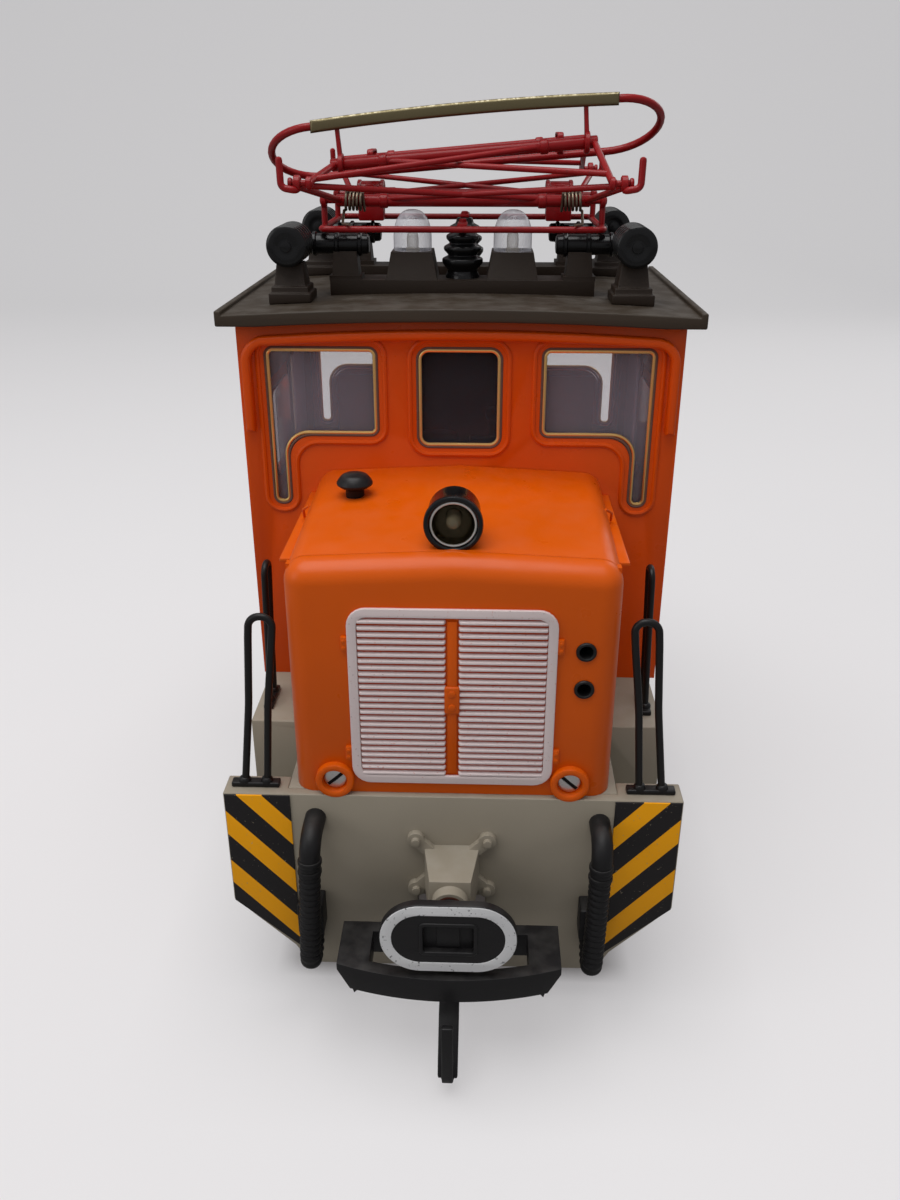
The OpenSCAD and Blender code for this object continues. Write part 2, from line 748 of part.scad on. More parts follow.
module corner_window(grow = 0) {
    r = 2.2;
    translate([(side_in + side_out) / 2, deck_z + (side_low + win_high) / 2])
        rounded(side_out - side_in + 2 * grow, win_high - side_low + 2 * grow, r + grow);
    translate([(leg_in + side_out) / 2, deck_z + (leg_low + win_high) / 2])
        rounded(side_out - leg_in + 2 * grow, win_high - leg_low + 2 * grow, r + grow);
    // the round inner step
    difference() {
        translate([leg_in - step_r, deck_z + side_low - step_r]) square(step_r + 1);
        translate([leg_in - step_r - grow, deck_z + side_low - step_r - grow]) circle(step_r, $fn = 40);
    }
}

// the rib is what lies between this outline and a smaller one
module rib_form(inset) {
    shoulder = deck_z + rib_top - rib_crest - inset;
    half = rib_half - rib_corner;
    arch_r = (pow(half, 2) + pow(rib_crest, 2)) / (2 * rib_crest);
    translate([0, shoulder - 20]) rounded(2 * (rib_half - inset), 40, rib_corner - inset);
    intersection() {
        translate([0, deck_z + rib_top - arch_r]) circle(arch_r - inset, $fn = 720);
        translate([-half, shoulder - 1]) square([2 * half, rib_crest + 2]);
    }
}

module side_window(grow = 0) {
    for (s = [-1, 1]) translate([s * side_win_y, deck_z + (side_win_low + side_win_high) / 2])
        rounded(side_win_w + 2 * grow, side_win_high - side_win_low + 2 * grow, 2);
}

module cab_box(inset) {
    block([-cab_w / 2 + inset, -cab_l / 2 + inset, deck_z],
        [cab_w / 2 - inset, cab_l / 2 - inset, deck_z + cab_h]);
}

hinge_r = 0.9;
hinge_pin = 0.45;
hinge_x = cab_w / 2 + hinge_r;
hinge_y = door_y + gap + 0.2;
knuckle_l = 4;
knuckle_z = [door_z0 + 8, door_z0 + door_h - 14];
pad_out = 0.7;

module cab_shell() {
    color(orange) difference() {
        union() {
            difference() {
                union() {
                    cab_box(0);
                    // raised frames round the side windows
                    both_sides() push_x(cab_w / 2 - 0.1, cab_w / 2 + pad_out) side_window(1.4);
                }
                translate([0, 0, -0.01]) cab_box(cab_wall);
                block([-cab_w / 2 + cab_wall, -cab_l / 2 + cab_wall, deck_z + 1],
                    [cab_w / 2 - cab_wall, cab_l / 2 - cab_wall, deck_z + cab_h + 1]);
            }
            both_ends() {
                // the end walls fill the arch of the roof
                push_y(-cab_l / 2, -cab_l / 2 + cab_wall) intersection() {
                    translate([-arch_half, roof_z - 1]) square([2 * arch_half, roof_arch + 1]);
                    translate([0, roof_under]) circle(roof_big_r - run, $fn = 1440);
                }
                push_y(-cab_l / 2 - rib_out, -cab_l / 2 + 0.1) intersection() {
                    difference() {
                        rib_form(0);
                        rib_form(rib_t);
                    }
                    translate([-cab_w, deck_z + rib_low]) square([2 * cab_w, 40]);
                }
            }
            // fixed knuckles and the hinge pins of the doors
            both_sides() for (z = knuckle_z) {
                translate([hinge_x, hinge_y, z - 2]) cylinder(h = 2, r = hinge_r, $fn = 24);
                translate([hinge_x, hinge_y, z - 1]) cylinder(h = knuckle_l + 1, r = hinge_pin, $fn = 24);
                block([cab_w / 2 - 0.5, hinge_y, z - 2], [hinge_x, hinge_y + 2.2, z]);
            }
        }
        both_ends() {
            push_y(-cab_l / 2 - 1, -cab_l / 2 + cab_wall + 1) {
                mid_window();
                corner_window();
                mirror([1, 0]) corner_window();
            }
        }
        both_sides() {
            push_x(cab_w / 2 - cab_wall - 1, cab_w / 2 + 2) side_window();
            block([cab_w / 2 - cab_wall - 1, -door_y - gap, door_z0 - gap],
                [cab_w / 2 + 0.01, door_y + gap, door_z0 + door_h + gap]);
        }
    }
}

door_t = 1.5;
door_win_low = side_win_low;
door_win_high = 68;
door_win_w = door_w - 7;

module door_window(grow = 0) {
    translate([0, deck_z + (door_win_low + door_win_high) / 2])
        rounded(door_win_w + 2 * grow, door_win_high - door_win_low + 2 * grow, 2);
}

// the door on the +X side, hinged at its +Y edge
module cab_door() {
    x1 = cab_w / 2;
    color(orange) {
        difference() {
            block([x1 - door_t, -door_y, door_z0], [x1, door_y, door_z0 + door_h]);
            push_x(x1 - door_t - 1, x1 + 1) door_window();
            // lower panel
            block([x1 - 0.5, -door_y + 3, door_z0 + 4], [x1 + 1, door_y - 3, deck_z + door_win_low - 5]);
        }
        for (z = knuckle_z) difference() {
            union() {
                translate([hinge_x, hinge_y, z + 0.15]) cylinder(h = knuckle_l - 0.5, r = hinge_r, $fn = 24);
                block([x1 - 0.4, door_y - 2.5, z + 0.15], [hinge_x, hinge_y, z + knuckle_l - 0.35]);
            }
            translate([hinge_x, hinge_y, z - 1]) cylinder(h = 8, r = hinge_pin + run, $fn = 24);
            block([x1 - 1, door_y, z - 1], [x1 + 0.1, hinge_y + 2, z + 6]);
        }
    }
    color(steel) {
        wire_path([[x1 - 0.3, -door_y + 2.2, deck_z + 34], [x1 + 1.6, -door_y + 2.2, deck_z + 34],
            [x1 + 1.6, -door_y + 2.2, deck_z + 42], [x1 - 0.3, -door_y + 2.2, deck_z + 42]], 0.8);
    }
}

module door_glass() {
    color(glass) push_x(cab_w / 2 - door_t - 0.8, cab_w / 2 - door_t) door_window(1);
}

module cab_door_right() cab_door();
module cab_door_left() mirror([1, 0, 0]) cab_door();
module door_glass_right() door_glass();
module door_glass_left() mirror([1, 0, 0]) door_glass();

glass_t = 1;
lap = 1.5;                                  // the glazing laps behind the walls

module cab_glazing() {
    color(glass) {
        both_ends() push_y(-cab_l / 2 + cab_wall, -cab_l / 2 + cab_wall + glass_t) {
            translate([0, deck_z + (side_low + win_high) / 2])
                square([2 * (side_out + lap), win_high - side_low + 2 * lap], center = true);
            translate([0, deck_z + (win_low + win_high) / 2])
                square([win_mid_w + 2 * lap, win_high - win_low + 2 * lap], center = true);
            both_sides() translate([leg_in - lap, deck_z + leg_low - lap])
                square([side_out - leg_in + 2 * lap, 30]);
        }
        both_sides() push_x(cab_w / 2 - cab_wall - glass_t, cab_w / 2 - cab_wall) side_window(1.2);
    }
}

stand_w = 34;                               // top of the control stand
stand_d = 24;
stand_h = 48;
stand_top_t = 3;
stand_taper = 4;                            // the stand narrows by this towards its top
wheel_x = -7;                               // hand wheel of the controller
lever_x = 8;                                // brake lever
cabinet_w = 26;                             // upright equipment cabinet on the stand
cabinet_y0 = 3;
cabinet_y1 = 11;
cabinet_h = 80;                             // its top above the deck

module control_stand() {
    top = deck_z + stand_h;
    color(black) {
        translate([0, 0, deck_z]) taper_box(stand_w - stand_taper, stand_d - stand_taper,
            stand_w - 2 * stand_taper, stand_d - 2 * stand_taper, stand_h - stand_top_t + 1);
        block([-stand_w / 2, -stand_d / 2, top - stand_top_t], [stand_w / 2, stand_d / 2, top]);
        translate([wheel_x, -4, top - 1]) cylinder(h = 8, r = 1.4, $fn = 24);
        translate([wheel_x, -4, top + 6]) cylinder(h = 1.6, r = 6, $fn = 40);
        translate([lever_x, -2, top - 1]) cylinder(h = 14, r = 1, $fn = 24);
        translate([lever_x, -2, top + 13]) sphere(2, $fn = 24);
        block([2, -10, top - 1], [14, -6, top + 8]);
        block([-cabinet_w / 2, cabinet_y0, top - 1], [cabinet_w / 2, cabinet_y1, deck_z + cabinet_h]);
    }
}

// ---- roof ----

function roof_top(x) = roof_z + roof_t + roof_arch - roof_big_r + sqrt(pow(roof_big_r, 2) - x * x);

module cab_roof() {
    color(roof_brown) {
        push_y(-roof_l / 2, roof_l / 2) difference() {
            intersection() {
                translate([-roof_w / 2, roof_z]) square([roof_w, roof_t + roof_arch + 1]);
                translate([0, roof_z + roof_t + roof_arch - roof_big_r]) circle(roof_big_r, $fn = 1440);
            }
            // the inside follows the arch over the cab
            intersection() {
                translate([-arch_half, roof_z - 1]) square([2 * arch_half, roof_arch + 3]);
                translate([0, roof_under]) circle(roof_big_r, $fn = 1440);
            }
        }
        // rain strips along the sides
        both_sides() block([roof_w / 2 - 1.6, -roof_l / 2, roof_z + 0.5],
            [roof_w / 2, roof_l / 2, roof_z + roof_t + 1.1]);
    }
}

post_x = 40;                                // corner pedestals
post_y = 25;
post_w = 9.9;
insulator_z = deck_z + 106.8;
insulator_r = 4.6;
bridge_half = 32;
bridge_y0 = 8.4;
bridge_y1 = 18.5;
bridge_top = roof_z + 7.2;
inner_x = 28.2;
inner_y = 15.2;
bar_d = 4.8;                                // insulator bars across the inner pedestals
bar_l = 15;
bar_off = 2;                                // outwards from the pedestal
bar_pitch = 5.5;                            // between the three ribs of a bar
bar_z = insulator_z - 0.9;
dome_z = bridge_top + 6.3;
dome_r = 4.7;
dome_h = 10;

module corner_pedestals() {
    z0 = roof_top(post_x + post_w / 2) - 0.6;
    z1 = insulator_z - insulator_r + 0.6;
    color(post_brown) both_ends() both_sides() translate([post_x, -post_y, 0]) difference() {
        translate([0, 0, z0]) {
            block([-post_w / 2, -post_w / 2, 0], [post_w / 2, post_w / 2, 3.2]);
            block([-post_w / 2 + 0.6, -post_w / 2 + 0.6, 3], [post_w / 2 - 0.6, post_w / 2 - 0.6, 4.6]);
            translate([0, 0, 4.5]) taper_box(7.4, 7.4, 6, 6, z1 - z0 - 4.5);
        }
        translate([0, 0, insulator_z]) along_y(14, insulator_r, 48);
        roof_cut(post_x);
    }
}

// removes what would lie inside the roof under a piece centred at x
module roof_cut(x) {
    translate([-x, -roof_l, roof_z + roof_t + roof_arch - roof_big_r]) rotate([-90, 0, 0])
        cylinder(h = 2 * roof_l, r = roof_big_r + 0.02, $fn = 1440);
}

module insulator_stack(l, r, n) {
    // ribbed body along Y
    along_y(l, r * 0.78, 48);
    for (i = [0 : n - 1]) translate([0, (i - (n - 1) / 2) * (l - 1.6) / (n - 1), 0]) along_y(1.4, r, 48);
}

module roof_insulators() {
    color(black) both_ends() both_sides() {
        translate([post_x, -post_y, insulator_z]) insulator_stack(11.5, insulator_r, 5);
        translate([inner_x + bar_off, -inner_y, bar_z]) along_x(bar_l, bar_d / 2, 40);
        for (i = [-1 : 1]) translate([inner_x + bar_off + bar_pitch * i, -inner_y, bar_z])
            along_x(1.2, bar_d / 2 + 0.5, 40);
    }
}

module roof_bridges() {
    color(post_brown) both_ends() difference() {
        union() {
            block([-bridge_half, -bridge_y1, roof_top(bridge_half) - 0.3],
                [bridge_half, -bridge_y0, bridge_top]);
            both_sides() translate([inner_x, -inner_y, bridge_top - 0.1])
                taper_box(6.6, 6.4, 5.6, 5, bar_z - bar_d / 2 - bridge_top + 1);
            both_sides() translate([inner_x, -inner_y, bridge_top - 0.1])
                block([-3.9, -3.2, 0], [3.9, 3.6, 1.1]);
        }
        translate([0, -inner_y, bar_z]) along_x(2 * bridge_half + 20, bar_d / 2, 40);
        for (i = [-1 : 1]) both_sides()
            translate([inner_x + bar_off + bar_pitch * i, -inner_y, bar_z]) along_x(1.3, bar_d / 2 + 0.55, 40);
        roof_cut(0);
        // the lead-in insulators stand through the bridge
        translate([0, -shaft_y, roof_z]) cylinder(h = 20, r = lead_r0, $fn = 40);
    }
    // tapered sockets of the warning lamps, on the front bridge
    color(post_brown) both_sides() translate([dome_x, -dome_y, bridge_top]) difference() {
        translate([0, 0, -0.1]) taper_box(12.4, 12.4, 10, 10, 6.4);
        translate([0, 0, 5.7]) cylinder(h = 2, r = dome_r, $fn = 48);
        translate([0, 0, 5.2]) cylinder(h = 2, r = 1.4, $fn = 32);
    }
}

lead_r0 = 4.2;
lead_h = 15;                                // height of a lead-in insulator

module lead_in_insulators() {
    z0 = roof_top(0) + 0.02;
    color(black) both_ends() translate([0, -shaft_y, z0]) rotate_extrude($fn = 48) polygon([
        [0, 0], [lead_r0 - 0.05, 0], [lead_r0 - 0.05, 3.4], [3.6, 4.6], [5, 6.4], [5, 7.4],
        [3.4, 8.2], [4.6, 9.4], [4.6, 10.2], [3.1, 11], [4, 12], [4, 12.8], [2.4, 13.6],
        [2, lead_h], [0, lead_h]]);
}

module warning_lamp_domes() {
    n = 8;
    outer = [for (i = [0 : n]) [dome_r * cos(i * 90 / n), dome_h - dome_r + dome_r * sin(i * 90 / n)]];
    inner = [for (i = [n : -1 : 0])
        [(dome_r - 0.8) * cos(i * 90 / n), dome_h - dome_r + (dome_r - 0.8) * sin(i * 90 / n)]];
    color(clear) both_sides() translate([dome_x, -dome_y, dome_z - 0.6])
        rotate_extrude($fn = 48) polygon(concat([[dome_r - 0.8, 0], [dome_r, 0]], outer, inner));
}

// ---- pantograph ----

base_z = bar_z + bar_d / 2 + 0.5 + wire_d / 2;
base_half = 33.5;
base_y = shaft_gap / 2 + 7;
shaft_y = shaft_gap / 2;
shaft_h = deck_z + 115.5;
shaft_half = 30.5;
elbow_y = shaft_y + arm_l * cos(arm_rest);
elbow_z = shaft_h + arm_l * sin(arm_rest);
apex_z = shaft_h + 2 * arm_l * sin(arm_rest);
apex_half = 31.5;
eye_x = base_half;                          // bearing eyes at the shaft ends
pin_r = 0.7;
lower_wire_x = 34.9;                        // elbow eyes of the lower arms
upper_wire_x = 32.4;
post_eye_x = 29;                            // eyes of the collector posts

module shaft_eye(x) {
    // an upright with a round eye, carried on the base wire
    translate([x, 0, 0]) difference() {
        union() {
            translate([0, 0, shaft_h]) along_x(1.4, pin_r + 1, 24);
            block([-0.6, -wire_d / 2, base_z], [0.6, wire_d / 2, shaft_h - 0.9]);
        }
        translate([0, 0, shaft_h]) along_x(4, pin_r + run, 24);
    }
}

drum_x = 24.5;
drum_w = 7;
drum_r = 3.6;
brace_x = 19;                               // where the diagonal wires meet the tubes

module pantograph_base() {
    color(panto_red) {
        for (s = [-1, 1]) {
            wire([-base_half, s * base_y, base_z], [base_half, s * base_y, base_z]);
            wire([s * base_half, -base_y, base_z], [s * base_half, base_y, base_z]);
            both_sides() translate([0, s * shaft_y, 0]) shaft_eye(eye_x);
        }
        // spring drums round the rear shaft, on feet from the rear wire
        both_sides() translate([drum_x, shaft_y, 0]) difference() {
            union() {
                translate([0, 0, shaft_h]) along_x(drum_w, drum_r, 32);
                block([-drum_w / 2, -2.6, base_z - 0.4], [drum_w / 2, 2.6, shaft_h]);
                block([-2, 0, base_z - 0.6], [2, base_y - shaft_y + 0.4, base_z + 0.6]);
            }
            translate([0, 0, shaft_h]) along_x(drum_w + 4, shaft_d / 2 + gap, 32);
        }
        // flat leads from the two insulators to the frame
        for (s = [-1, 1]) {
            lead_z = roof_top(0) + lead_h + 0.05;
            block([-1.2, min(s * (shaft_y - 1.5), s * base_y), lead_z],
                [1.2, max(s * (shaft_y - 1.5), s * base_y), lead_z + 0.8]);
        }
    }
}

module pantograph_springs() {
    color(steel) both_sides() translate([26, -shaft_y, shaft_h]) difference() {
        union() {
            for (i = [0 : 4]) translate([(i - 2) * 1.0, 0, 0]) along_x(0.7, shaft_d / 2 + 1, 24);
            along_x(4.6, shaft_d / 2 + 0.7, 24);
            wire([0, -0.5, -shaft_d / 2 - 0.4],
                [0, shaft_y - base_y + 0.4, base_z - shaft_h + wire_d / 2 + 0.65], 0.8);
        }
        along_x(8, shaft_d / 2 + 0.25, 24);
    }
}

// lower arm of the front pair, at rest
module lower_arm() {
    a = [shaft_half - 1.2, -shaft_y, shaft_h];
    b = [lower_wire_x, -elbow_y, elbow_z];
    near = a + (b - a) * 0.78;
    color(panto_red) difference() {
        union() {
            translate([0, -shaft_y, shaft_h]) along_x(2 * shaft_half, shaft_d / 2, 32);
            translate([0, -shaft_y, shaft_h]) along_x(2 * eye_x + 2, pin_r, 24);
            both_sides() {
                wire(a, b + [0, 1.4, -0.3]);
                wire([brace_x, -shaft_y, shaft_h], [-near.x, near.y, near.z], wire_d * 0.9);
                translate(b) along_x(1.6, pin_r + 0.9, 24);
                // the end of the wire is turned out and up beside the elbow
                wire_path([b + [0.2, -1.2, -0.9], b + [3.2, -1.5, -0.4], b + [3.4, -1.5, 4.6]]);
            }
        }
        both_sides() translate(b) along_x(1.8, pin_r + run, 24);
    }
}

function lean_z(x) = x * tan(lean);

module upper_arm() {
    color(panto_red) {
        translate([0, -shaft_y, apex_z]) rotate([0, -lean, 0]) along_x(2 * apex_half, shaft_d / 2, 32);
        for (s = [-1, 1]) {
            a = [s * (apex_half - 0.6), -shaft_y, apex_z + lean_z(s * (apex_half - 0.6))];
            b = [s * upper_wire_x, -elbow_y, elbow_z];
            near = a + (b - a) * 0.78;
            wire(a, b);
            wire([-s * brace_x, -shaft_y, apex_z + lean_z(-s * brace_x)], near, wire_d * 0.9);
            translate([s * (upper_wire_x + 1.9), -elbow_y, elbow_z]) along_x(4, pin_r, 24);
        }
    }
}

module lower_arm_front() lower_arm();
module lower_arm_rear() rotate([0, 0, 180]) lower_arm();
module upper_arm_front() upper_arm();
module upper_arm_rear() mirror([0, 1, 0]) upper_arm();

strip_z = deck_z + 134.6;                   // middle of the wear strip
strip_arch = 0.9;
horn_out = 11.4;
horn_drop = 11.6;
horn_steps = 7;
strip_h = 1.9;
strip_w = 3.2;

ring_back = shaft_y - 4;                    // the rear wire runs a little before the rear apex tube

function ring_point(s, t) = [
    s * (strip_half + horn_out * sin(t)),
    -(shaft_y + ring_back) / 2 * cos(t) - (shaft_y - ring_back) / 2,
    strip_z - horn_drop * (1 - cos(t)) / 2 + lean_z(s * (strip_half + horn_out * sin(t)))];

module pantograph_head() {
    color(panto_red) {
        for (s = [-1, 1]) {
            wire_path([for (i = [0 : horn_steps]) ring_point(s, i * 180 / horn_steps)]);
            wire(ring_point(s, 180), [s * clip_x, ring_back, strip_z - horn_drop + lean_z(s * clip_x)]);
            // flat post from the apex tube to the strip
            zt = apex_z + lean_z(s * post_eye_x);
            translate([s * post_eye_x, -shaft_y, zt]) rotate([0, -lean, 0]) difference() {
                union() {
                    along_x(1.2, shaft_d / 2 + 1, 32);
                    block([-0.6, -1.1, shaft_d / 2 + 0.4], [0.6, 1.1, strip_z - apex_z - 0.2]);
                }
                along_x(3, shaft_d / 2 + run, 32);
            }
            // slotted clip that the rear apex tube slides in
            translate([s * clip_x, shaft_y, apex_z + lean_z(s * clip_x)]) rotate([0, -lean, 0]) difference() {
                push_x(-0.8, 0.8) rounded(clip_l + 2 * clip_wall, clip_h + 2 * clip_wall, 1.6);
                push_x(-2, 2) rounded(clip_l, clip_h, 0.8);
            }
        }
        wire([-clip_x, ring_back, strip_z - horn_drop + lean_z(-clip_x)],
            [clip_x, ring_back, strip_z - horn_drop + lean_z(clip_x)]);
        front_wire();
    }
}

// the front of the ring, which the wear strip is folded round
module front_wire() {
    wire_path([for (p = strip_line) [p.x, -shaft_y, p.y + strip_z]]);
}

clip_x = 24;                                // slotted clips on the rear apex tube
clip_l = shaft_d + 2 * gap + 4 * clip_x * sin(lean) * sin(arm_lift) + 1;
clip_h = shaft_d + 2 * gap + 0.4;
clip_wall = 1.2;

strip_steps = 6;
strip_line = [for (i = [0 : strip_steps]) let (x = -strip_half + 2 * strip_half * i / strip_steps)
    [x, strip_arch * (1 - pow(x / strip_half, 2)) + lean_z(x)]];

module wear_strip() {
    color(tarnished) difference() {
        push_y(-shaft_y - strip_w / 2, -shaft_y + strip_w / 2) polygon(concat(
            [for (p = strip_line) [p.x, p.y + strip_z + strip_h / 2 + 0.2]],
            [for (i = [strip_steps : -1 : 0])
                [strip_line[i].x, strip_line[i].y + strip_z - strip_h / 2 - 0.2]]));
        front_wire();
        // sockets for the ends of the horns and the posts
        for (s = [-1, 1]) {
            wire(ring_point(s, 0), ring_point(s, 180 / horn_steps), wire_d);
            translate([s * post_eye_x, -shaft_y, apex_z + lean_z(s * post_eye_x)]) rotate([0, -lean, 0])
                block([-0.6, -1.1, 0], [0.6, 1.1, strip_z - apex_z - 0.2]);
        }
    }
}

// ---- end fittings ----

rail_x = frame_w / 2 - 6.8;
rail_gap = 4.9;
rail_foot = 1.2;
rail_foot_w = 10.6;
rail_foot_d = 2.4;
rail_seat = 0.8;                            // the wire starts in its foot
rail_flat = 0.3;                            // half of the flat at the top of the loop

// an upright wire loop as seen from its flat side, u across and z up
function loop_points(half, height, r) = concat(
    [[-half, 0]],
    [for (a = [0 : 45 : 90]) [-half + r - r * cos(a), height - r + r * sin(a)]],
    [for (a = [90 : -45 : 0]) [half - r + r * cos(a), height - r + r * sin(a)]],
    [[half, 0]]);

// a handrail across X, its foot on the deck at the origin
module handrail(height, lean_in) {
    top = height - rail_d / 2;
    block([-rail_foot_w / 2, -rail_foot_d / 2, 0], [rail_foot_w / 2, rail_foot_d / 2, rail_foot]);
    wire_path([for (p = loop_points(rail_gap / 2, top - rail_seat, rail_gap / 2 - rail_flat))
        [p.x - lean_in.x * p.y / top, lean_in.y * p.y / top, p.y + rail_seat]], rail_d);
}

module end_handrails() {
    color(black) both_ends() both_sides() translate([rail_x, -end_y + beam_depth / 2, deck_z])
        handrail(rail_h, [rail_lean, 0]);
}

deck_rail_back = 14;                        // from the cab to the middle of the handrail
deck_rail_in = 3.2;                         // from the edge of the deck

module deck_handrails() {
    color(black) both_ends() both_sides()
        translate([frame_w / 2 - deck_rail_in, -cab_l / 2 - deck_rail_back, deck_z])
            rotate([0, 0, 90]) handrail(deck_rail_h, [0, deck_rail_lean]);
}

hose_x = 31.3;
hose_out = 8.6;                             // middle line of the hose from the plate
hose_top = deck_z - 4;
hose_low = deck_z - 37.2;
hose_turn = 3;
clamp_z0 = deck_z - 34.5;
clamp_z1 = deck_z - 26;
clamp_w = 6;

module hose_bend(r, a0, a) {
    // a bend in the Y-Z plane
    rotate([90, 0, 90]) rotate([0, 0, a0]) rotate_extrude(angle = a, $fn = 40)
        translate([r, 0]) circle(hose_d / 2, $fn = 24);
}

module brake_hoses() {
    r = 4;
    color(black) both_ends() both_sides() translate([hose_x, -end_y, 0]) {
        translate([0, -(hose_out - r) / 2, hose_top]) along_y(hose_out - r, hose_d / 2, 24);
        translate([0, -hose_out + r, hose_top - r]) hose_bend(r, 90, 90);
        translate([0, -hose_out, hose_low]) cylinder(h = hose_top - r - hose_low, r = hose_d / 2, $fn = 24);
        translate([0, -hose_out + hose_turn, hose_low]) hose_bend(hose_turn, 180, 180);
        translate([0, -hose_out + 2 * hose_turn, hose_low])
            cylinder(h = clamp_z0 - hose_low + 1, r = hose_d / 2, $fn = 24);
        block([-clamp_w / 2, -hose_out + 2 * hose_turn - clamp_w / 2 + 0.1, clamp_z0],
            [clamp_w / 2, 0, clamp_z1]);
    }
}

buffer_z = deck_z - 18.3;
bracket_top = buffer_z + 5.6;
bracket_low = buffer_z - 5.6;
bracket_l = 11.5;
collar_r = 3.85;
collar_l = 2.6;
shank_r = 2.5;
lug_x = 7.9;

module buffer_bracket() {
    difference() {
        union() {
            translate([0, -end_y, bracket_low]) rotate([90, 0, 0])
                translate([0, (bracket_top - bracket_low) / 2, 0])
                taper_box(12.4, bracket_top - bracket_low, 8.8, 9.6, bracket_l);
            translate([0, -end_y - bracket_l - collar_l / 2 + 0.1, buffer_z])
                along_y(collar_l + 0.2, collar_r, 40);
            for (sx = [-1, 1], sz = [[1, bracket_top + 2], [-1, bracket_low - 0.2]])
                translate([sx * lug_x, -end_y - 0.75, sz[1]]) {
                    along_y(1.5, 1.9, 32);
                    translate([0, -1.1, 0]) along_y(1.2, 0.95, 24);
                    rotate([0, sx * sz[0] * 45, 0]) block([-1.4, -0.75, -5.5 * (sz[0] > 0 ? 1 : 0)],
                        [1.4, 0.75, 5.5 * (sz[0] > 0 ? 0 : 1)]);
                }
        }
        translate([0, -end_y - (bracket_l + collar_l) / 2 - 2, buffer_z])
            along_y(bracket_l + collar_l + 2, shank_r + run, 40);
        block([-20, -end_y, 0], [20, -end_y + 10, deck_z]);
    }
}

module buffer_brackets() color(grey) both_ends() buffer_bracket();

plate_thick = 2;
shank_end = buffer_travel + 1.5;            // end of the shank before the headstock

module buffer() {
    y1 = -end_y - buffer_out;
    color(black) {
        difference() {
            push_y(y1, y1 + plate_thick) translate([0, buffer_z])
                rounded(buffer_w, buffer_h, buffer_h / 2 - 0.05);
            translate([0, y1, buffer_z]) block([-5.15, -1, -3.3], [5.15, 1.2, 3.3]);
        }
        push_y(y1 + plate_thick - 0.4, -end_y - shank_end) translate([0, buffer_z]) circle(shank_r, $fn = 40);
    }
}

module buffer_front() buffer();
module buffer_rear() rotate([0, 0, 180]) buffer();

loop_y0 = end_y + 7.5;                      // back of the loop
loop_y1 = end_y + 20.3;                     // its front corners
loop_bulge = 4;
loop_bar = 3;
eye_r = 5;
hook_y = end_y + 4;
hook_z = loop_bottom - 2.6;
hook_pin = 0.8;
hook_w = 4.3;
bulge_r = (pow(loop_w / 2, 2) + pow(loop_bulge, 2)) / (2 * loop_bulge);

// plan of the loop, with Y away from the locomotive
module loop_plan() {
    inner = loop_w / 2 - loop_arm;
    difference() {
        union() {
            translate([-loop_w / 2, loop_y0]) square([loop_w, loop_y1 - loop_y0]);
            intersection() {
                translate([0, loop_y1 + loop_bulge - bulge_r]) circle(bulge_r, $fn = 240);
                translate([-loop_w / 2, loop_y1 - 1]) square([loop_w, loop_bulge + 2]);
            }
            translate([-shank_w / 2, pivot_y]) square([shank_w, loop_y0 - pivot_y + 1]);
            translate([0, pivot_y]) circle(eye_r, $fn = 40);
        }
        intersection() {
            translate([-inner, loop_y0 + 3]) square([2 * inner, loop_y1 - loop_y0 + loop_bulge]);
            translate([0, loop_y1 + loop_bulge - loop_bar - bulge_r]) circle(bulge_r, $fn = 240);
        }
        translate([0, pivot_y]) circle(pivot_r + run, $fn = 32);
    }
}

module coupler() {
    color(black) {
        difference() {
            translate([0, 0, loop_bottom]) mirror([0, 1, 0]) linear_extrude(loop_h) loop_plan();
            // slanted lower corners
            both_sides() push_y(-loop_y1 - 10, -loop_y0 + 1) polygon([
                [loop_w / 2 + 0.1, loop_top - 1.5], [loop_w / 2 + 0.1, loop_bottom - 1],
                [loop_w / 2 - 3.4, loop_bottom - 1]]);
        }
        // small spikes under the front corners
        both_sides() translate([loop_w / 2 - 4.2, -loop_y1, 0])
            push_y(-0.9, 0.9)
                polygon([[-1, loop_bottom + 0.5], [1, loop_bottom + 0.5], [0.6, loop_bottom - 1.2]]);
        // ears and pin for the hook
        both_sides() push_x(hook_w / 2 + 0.2, hook_w / 2 + 1.8) union() {
            translate([-hook_y - 2, hook_z]) square([4, loop_bottom - hook_z + 0.5]);
            translate([-hook_y, hook_z]) circle(2, $fn = 32);
        }
        translate([0, -hook_y, hook_z]) along_x(hook_w + 1, hook_pin, 24);
    }
}

module coupler_front() coupler();
module coupler_rear() rotate([0, 0, 180]) coupler();

tip_out = 29.5;                             // lowest front point of the hook from the plate
tip_z = 4.2;
finger_top = loop_bottom - 1.6;
finger_w = 2.4;

module hook() {
    yt = -end_y - tip_out;
    color(black) difference() {
        union() {
            translate([0, -hook_y, hook_z]) along_x(hook_w, 2, 32);
            push_x(-hook_w / 2, hook_w / 2) polygon([
                [-hook_y + 0.6, hook_z + 1.9], [-hook_y - 1, hook_z + 1.7], [-end_y - 20, hook_z - 5.4],
                [yt + 3, tip_z + 3.4], [yt + 2, tip_z + 0.8], [-end_y - 17, tip_z + 5.2],
                [-hook_y, hook_z - 2]]);
            push_x(-finger_w / 2, finger_w / 2) polygon([
                [yt + 3.2, tip_z], [yt + 0.8, tip_z + 0.8], [yt, tip_z + 3], [yt - 0.6, finger_top],
                [yt + 0.8, finger_top], [yt + 2, tip_z + 6], [yt + 4.2, tip_z + 3]]);
        }
        translate([0, -hook_y, hook_z]) along_x(hook_w + 4, hook_pin + run, 24);
    }
}

module hook_front() hook();
module hook_rear() rotate([0, 0, 180]) hook();

